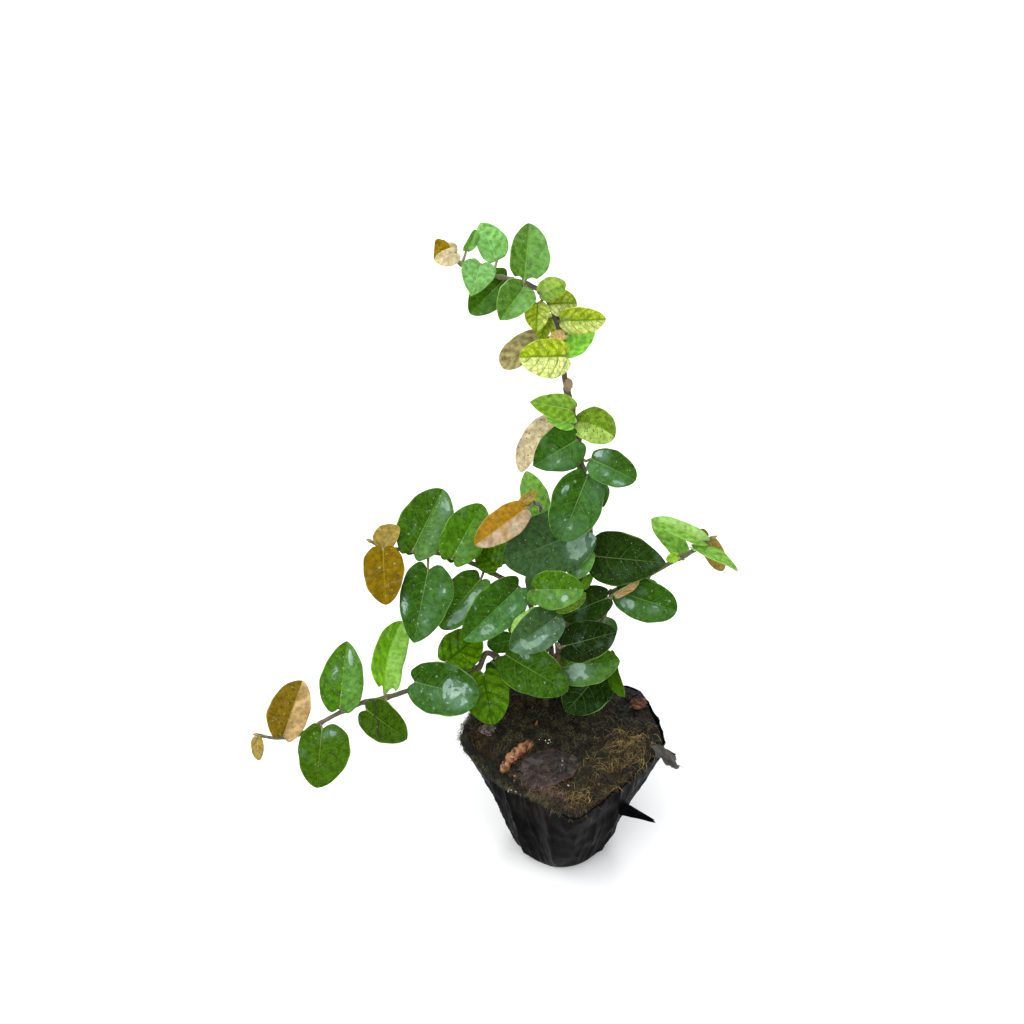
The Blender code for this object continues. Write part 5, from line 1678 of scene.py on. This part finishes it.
def leaf_sheen(paint, flat, wet_sheen_mark, upper):
    """Painted light on the upper face: a broad dull sheen, a bright wet highlight with a sharp edge, where
    the surface is also smoother, and small glints.
    """
    broad = paint.cloud(flat, "broad_sheen")
    halo = paint.math("MAXIMUM", broad, paint.ramp(wet_sheen_mark, *SHEEN_HALO))
    ragged = paint.math("MULTIPLY", wet_sheen_mark, paint.cloud(flat, "ragged_highlight"))
    depth = paint.math("MULTIPLY", paint.cloud(flat, "highlight_depth"), paint.cloud(flat, "highlight_streaks"))
    film = paint.math("MULTIPLY", paint.ramp(ragged, *HIGHLIGHT_EDGE), depth)
    glint = paint.math("MULTIPLY", paint.cloud(flat, "sparkle"), GLINT_SHARE)
    return [paint.math("MULTIPLY", share, upper) for share in (halo, film, glint)]


def leaf_finish(tone):
    """A veined leaf surface, smoother where damp, with painted light: a paler half, broad sheen, wet
    highlights and glints above, and sky sheen beneath.
    """
    main, second, sheen_half_colour, vein, vein_strength, net_strength, specks, roughness = TONES[tone]
    paint = Paint("leaf_" + tone)
    side, along, upper = paint.attribute("pattern")[1]
    flat, flat_parts = paint.attribute("tint")
    flat_x = flat_parts[0]
    # The painted sheen half, the painted wet highlights, and the leaf's lightness, which is partly painted
    # light and shade
    sheen_half, wet_sheen_mark, light = paint.attribute("mark")[1]
    away = paint.math("ABSOLUTE", side)
    ripple, lateral, midrib, net = leaf_veins(paint, flat, flat_x, away, along)
    blister = paint.math("ADD", paint.math("MULTIPLY", ripple, 0.9), paint.noise(flat, 5.0, 4))
    ground = paint.mix(paint.ramp(blister, *BLISTERS), main, second)
    # Painted sheen: one half paler, as if it caught the light
    sheen_half_share = paint.math("MULTIPLY", sheen_half, paint.cloud(flat, "sheen_half_patches"), clamp=True)
    ground = paint.mix(sheen_half_share, ground, sheen_half_colour)
    if tone in VEIN_HALO:
        beside_midrib = paint.ramp(paint.math("ABSOLUTE", flat_x), *BESIDE_MIDRIB)
        halo = paint.math("MAXIMUM", paint.ramp(ripple, *BESIDE_VEINS), beside_midrib)
        ground = paint.mix(halo, ground, VEIN_HALO[tone])
    # Scaled by the leaf's lightness, partly painted light and shade, and by its mottling
    lit = paint.node("ShaderNodeVectorMath", operation="SCALE")
    paint.link(ground, lit.inputs[0])
    paint.link(paint.math("MULTIPLY", light, paint.cloud(flat, "mottle")), lit.inputs["Scale"])
    main_veins = paint.math("MAXIMUM", paint.math("MULTIPLY", lateral, VEIN_SHARE * vein_strength),
                            paint.math("MULTIPLY", midrib, min(1, vein_strength + MIDRIB_EXTRA)))
    veined = paint.math("MAXIMUM", main_veins, paint.math("MULTIPLY", net, NET_SHARE * net_strength))
    coloured = paint.mix(veined, lit.outputs[0], vein)
    spots = paint.ramp(paint.noise(flat, 9.0 + 7 * specks, 3), 0.78 - 0.19 * specks, 0.83 - 0.17 * specks)
    marked = paint.mix(paint.math("MULTIPLY", spots, min(1, specks)), coloured, SPECK)
    # The under face: paler than the veins, with a painted sky sheen
    under = tuple(UNDER_LIGHT * share + extra for share, extra in zip(vein, SKY_SHEEN))
    faced = paint.mix(paint.math("SUBTRACT", 1.0, upper), marked, under)
    rim = tuple(share + extra for share, extra in zip(RIM_GLOW[tone == "yellow"], vein))
    rim_share = paint.math("MULTIPLY", paint.ramp(away, *LIT_EDGE), paint.cloud(flat, "lit_rim"))
    edged = paint.mix(rim_share, faced, rim)
    # Painted sheen, wet highlights and glints; the wet highlight also makes the surface smoother
    broad, film, glint = leaf_sheen(paint, flat, wet_sheen_mark, upper)
    sheened = paint.mix(film, paint.mix(broad, edged, DAMP_SHEEN), WET_SHEEN)
    paint.colour(paint.mix(glint, sheened, GLINT))
    rough = paint.ramp(paint.noise(flat, 4.0, 3), 0.3, 0.7, roughness - SMOOTHER, roughness + ROUGHER)
    dry = paint.math("SUBTRACT", 1.0, paint.math("MULTIPLY", film, FILM_SMOOTHING))
    paint.roughness(paint.math("MULTIPLY", rough, dry))
    relief = paint.math("SUBTRACT", paint.math("MULTIPLY", paint.noise(flat, 14.0, 3), 0.25),
                        paint.math("ADD", main_veins, paint.math("MULTIPLY", net, 0.3)))
    paint.bump(relief, 0.4, 0.1 * MM)
    paint.set(Specular_IOR_Level=LEAF_GLOSS)
    return paint.made


# The pale pores of bark: colour, how many in a pattern unit, and their ramp; and how dark its streaks are
PORE = (0.2, 0.16, 0.11)
PORES = 12.0
PORE_EDGE = (0.12, 0.2, 0.5, 0)
STREAK_SHADE = 0.45
# Old bark and young bark
TWIGS = {
    "bark": ((0.058, 0.038, 0.027), (0.15, 0.16, 0.05)),
    "stalk": ((0.13, 0.11, 0.04), (0.28, 0.36, 0.08)),
}


def twig_finish(name, old, young):
    """Bark that turns from old to young along the stem, with pale pores."""
    paint = Paint(name)
    place = paint.attribute("pattern")[0]
    age = paint.attribute("tint")[1][0]
    ground = paint.mix(age, old, young)
    shade = tuple(STREAK_SHADE * share for share in old)
    streaked = paint.mix(paint.cloud(place, "bark_streaks"), ground, shade)
    pores = paint.ramp(paint.cells(place, PORES), *PORE_EDGE)
    paint.colour(paint.mix(pores, streaked, PORE))
    paint.bump(paint.noise(place, 14.0, 4), 0.7, 0.15 * MM)
    paint.set(Roughness=0.55)
    return paint.made


# How the dust on the film thickens towards the rim, as a ramp over the wall's rise
DUSTY_RIM = (0.55, 1.0, 0.25, 1)
BLACK_FILM = (0.0022, 0.0022, 0.0026)
DUST = (0.014, 0.012, 0.009)
RED_DUST = (0.012, 0.004, 0.004)
BLACK_SOIL = (0.004, 0.004, 0.004)
BROWN_SOIL = (0.024, 0.017, 0.01)
GREEN_SOIL = (0.013, 0.018, 0.008)


def film_finish():
    """Thin black polythene: faintly glossy, scuffed and dusted with soil near the rim."""
    paint = Paint("film")
    rise = paint.attribute("pattern")[1][2]
    where = paint.place()
    near_rim = paint.ramp(rise, *DUSTY_RIM)
    dust = paint.math("MULTIPLY", paint.cloud(where, "film_dust"), near_rim)
    reddish = paint.math("MULTIPLY", paint.cloud(where, "film_red"), near_rim)
    paint.colour(paint.mix(reddish, paint.mix(dust, BLACK_FILM, DUST), RED_DUST))
    paint.roughness(paint.cloud(where, "film_scuffs"))
    paint.bump(paint.noise(where, 420, 4, 0.6), 0.2, 0.2 * MM)
    paint.set(Specular_IOR_Level=0.01)
    return paint.made


def soil_finish():
    """Damp dark soil with brown and green patches."""
    paint = Paint("soil")
    where = paint.place()
    ground = paint.mix(paint.cloud(where, "soil_brown"), BLACK_SOIL, BROWN_SOIL)
    green = paint.math("MULTIPLY", paint.cloud(where, "soil_green"), 0.5)
    paint.colour(paint.mix(green, ground, GREEN_SOIL))
    paint.bump(paint.noise(where, 900, 6), 0.9, 0.6 * MM)
    paint.set(Roughness=0.75, Specular_IOR_Level=0.2)
    return paint.made


# On rough surfaces: the usual grain, and the shares of a piece's own tone and of clouds in its colour
USUAL_GRAIN = 300
TONE_SHARE = 0.6
CLOUD_SHARE = 0.5


def toned_finish(name, dark, light, roughness, grain=USUAL_GRAIN):
    """A rough natural surface whose pieces differ a little in tone."""
    paint = Paint(name)
    tone = paint.attribute("tint")[1][0]
    where = paint.place()
    cloud = paint.math("ADD", paint.math("MULTIPLY", tone, TONE_SHARE),
                       paint.math("MULTIPLY", paint.noise(where, grain, 4), CLOUD_SHARE), clamp=True)
    if name in STRAND_FORMS:
        cloud = paint.math("MULTIPLY", cloud, paint.cloud(where, "strand_patches"))
    paint.colour(paint.mix(cloud, dark, light))
    paint.bump(paint.noise(where, grain * 4, 4), 0.6, 0.2 * MM)
    paint.set(Roughness=roughness, Specular_IOR_Level=0.25)
    return paint.made


# On fallen leaves: where the brighter edge starts and ends, and its strength and that of the glints
LITTER_EDGE = (0.86, 1.0)
LITTER_EDGE_SHARE = 0.8
LITTER_GLINT_SHARE = 0.7
WATER_COLOUR = (0.75, 0.85, 0.75, 1)


def litter_finish(name, dark, light, rim, glint, roughness):
    """A damp fallen leaf: blotched, wrinkled, with a brighter edge and wet glints."""
    paint = Paint(name)
    side = paint.attribute("pattern")[1][0]
    where = paint.place()
    blotched = paint.mix(paint.cloud(where, "litter_blotches"), dark, light)
    edge = paint.ramp(paint.math("ABSOLUTE", side), *LITTER_EDGE)
    edge = paint.math("MULTIPLY", edge, LITTER_EDGE_SHARE)
    shine = paint.math("MULTIPLY", paint.cloud(where, "litter_shine"), LITTER_GLINT_SHARE)
    paint.colour(paint.mix(shine, paint.mix(edge, blotched, rim), glint))
    paint.bump(paint.noise(where, 900, 5), 0.8, 0.25 * MM)
    paint.set(Roughness=roughness, Specular_IOR_Level=0.3)
    return paint.made


def water_finish():
    """Clear water: nearly see-through, with sharp glints."""
    paint = Paint("water")
    paint.set(Base_Color=WATER_COLOUR, Roughness=0.04, Alpha=0.12)
    return paint.made


# Rough surfaces: darkest and lightest colour, roughness, and the grain where it isn't the usual one
TONED = {
    "bud": ((0.12, 0.075, 0.03), (0.3, 0.2, 0.08), 0.45),
    "scale": ((0.03, 0.014, 0.008), (0.22, 0.13, 0.07), 0.6),
    "knob": ((0.12, 0.07, 0.035), (0.42, 0.3, 0.18), 0.5),
    "fibre": ((0.025, 0.018, 0.005), (0.55, 0.39, 0.14), 0.6),
    "rust_fibre": ((0.03, 0.012, 0.004), (0.22, 0.11, 0.03), 0.7),
    "brown_fibre": ((0.015, 0.01, 0.004), (0.16, 0.12, 0.05), 0.7),
    "cover_fibre": ((0.03, 0.019, 0.014), (0.3, 0.2, 0.15), 0.7),
    "moss": ((0.003, 0.004, 0.002), (0.2, 0.185, 0.09), 0.8),
    "dark_moss": ((0.003, 0.004, 0.003), (0.03, 0.034, 0.018), 0.8),
    "crumb": ((0.006, 0.005, 0.004), (0.03, 0.022, 0.015), 0.85),
    "chip": ((0.05, 0.014, 0.007), (0.3, 0.1, 0.05), 0.45),
    "grain": ((0.55, 0.53, 0.49), (0.85, 0.84, 0.8), 0.7),
    "tendril": ((0.004, 0.003, 0.003), (0.03, 0.02, 0.015), 0.6),
    "bark_chip": ((0.012, 0.004, 0.002), (0.22, 0.085, 0.055), 0.25, 700),
    "dusty_film": ((0.01, 0.01, 0.009), (0.2, 0.18, 0.15), 0.4, 500),
}
# Fallen leaves: darkest and lightest colour, edge, wet glints, roughness
LITTER = {
    "litter_copper": ((0.05, 0.016, 0.005), (0.36, 0.15, 0.06), (0.36, 0.16, 0.07), (0.8, 0.5, 0.33), 0.35),
    "litter_dead": ((0.007, 0.005, 0.005), (0.036, 0.023, 0.022), (0.075, 0.027, 0.015), (0.09, 0.07, 0.07),
                    0.45),
    "litter_grey": ((0.03, 0.018, 0.015), (0.13, 0.08, 0.07), (0.22, 0.15, 0.14), (0.4, 0.34, 0.33), 0.3),
}
RECIPES = [(TONED, toned_finish), (LITTER, litter_finish), (TWIGS, twig_finish)]
SINGLE_FINISHES = {"film": film_finish, "soil": soil_finish, "water": water_finish}
FINISHES = {}


def new_finish(name):
    """The material of a finish."""
    if name in TONES:
        return leaf_finish(name)
    for table, recipe in RECIPES:
        if name in table:
            return recipe(name, *table[name])
    return SINGLE_FINISHES[name]()


def finish_of(name):
    """The material of a finish, made the first time that it is asked for."""
    if name not in FINISHES:
        FINISHES[name] = new_finish(name)
    return FINISHES[name]


# Stage

FLOOR_SIZE = 6
FLOOR_COLOUR = (0.9, 0.9, 0.9, 1)
SKY_COLOUR = (0.95, 0.98, 1, 1)
SKY_STRENGTH = 0.6
# Each light: its place, the spot it points at, its size and its power
LIGHTS = {
    "key": ((-0.35, -0.25, 0.9), (0, 0.02, 0.1), 1.3, 15),
    "fill": ((0.7, -0.5, 0.6), (0, 0.02, 0.08), 0.6, 3),
    "back": ((0.1, 0.9, 0.7), (0, 0.02, 0.12), 0.5, 5),
}


def make_floor():
    """A plain pale floor."""
    bpy.ops.mesh.primitive_plane_add(size=FLOOR_SIZE)
    floor = bpy.context.object
    floor.name = "floor"
    pale = bpy.data.materials.new("floor")
    pale.use_nodes = True
    shader = pale.node_tree.nodes["Principled BSDF"]
    shader.inputs["Base Color"].default_value = FLOOR_COLOUR
    shader.inputs["Roughness"].default_value = 0.9
    shader.inputs["Specular IOR Level"].default_value = 0.1
    floor.data.materials.append(pale)


def make_light(name, place, aim, size, power):
    """A soft square light that points at a spot."""
    lamp = bpy.data.lights.new(name, "AREA")
    lamp.size = size
    lamp.energy = power
    item = bpy.data.objects.new(name, lamp)
    item.location = place
    item.rotation_euler = (Vector(aim) - Vector(place)).to_track_quat("-Z", "Y").to_euler()
    bpy.context.scene.collection.objects.link(item)


def make_stage():
    """Floor, soft studio light and the camera at the photograph's angle."""
    make_floor()
    world = bpy.data.worlds.new("studio")
    bpy.context.scene.world = world
    world.use_nodes = True
    world.node_tree.nodes["Background"].inputs["Color"].default_value = SKY_COLOUR
    world.node_tree.nodes["Background"].inputs["Strength"].default_value = SKY_STRENGTH
    for name, values in LIGHTS.items():
        make_light(name, *values)
    lens = bpy.data.cameras.new("camera")
    lens.sensor_width = SENSOR
    lens.lens = SENSOR * VIEW_DISTANCE / (IMAGE_PIXELS * PIXEL)
    lens.clip_start = 0.01
    camera = bpy.data.objects.new("camera", lens)
    camera.location = AIM + TOWARDS * VIEW_DISTANCE
    camera.rotation_euler = (-TOWARDS).to_track_quat("-Z", "Y").to_euler()
    bpy.context.scene.collection.objects.link(camera)
    bpy.context.scene.camera = camera
    bpy.context.scene.view_settings.view_transform = "Standard"


def main():
    """Make every piece and the stage."""
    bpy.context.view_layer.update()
    make_bag()
    make_soil()
    make_strands()
    make_moss_lip()
    make_crumbs()
    make_torn_film()
    make_dark_strand()
    for number, (name, (stem, leaves, slot)) in enumerate(LEAFY_STEMS.items()):
        make_leafy_stem(name, stem, leaves, SEEDS_A_STEM * number)
    for number, (name, (leaf, carrier_pixel)) in enumerate(DRY_LEAVES.items()):
        make_dry_leaf(name, leaf, carrier_pixel, DRY_LEAF_SEED + number)
    for name, values in LITTER_LEAVES.items():
        make_litter_leaf(name, *values)
    make_rolled_leaf()
    make_bark()
    make_loose_chip()
    make_stage()
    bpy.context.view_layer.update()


main()
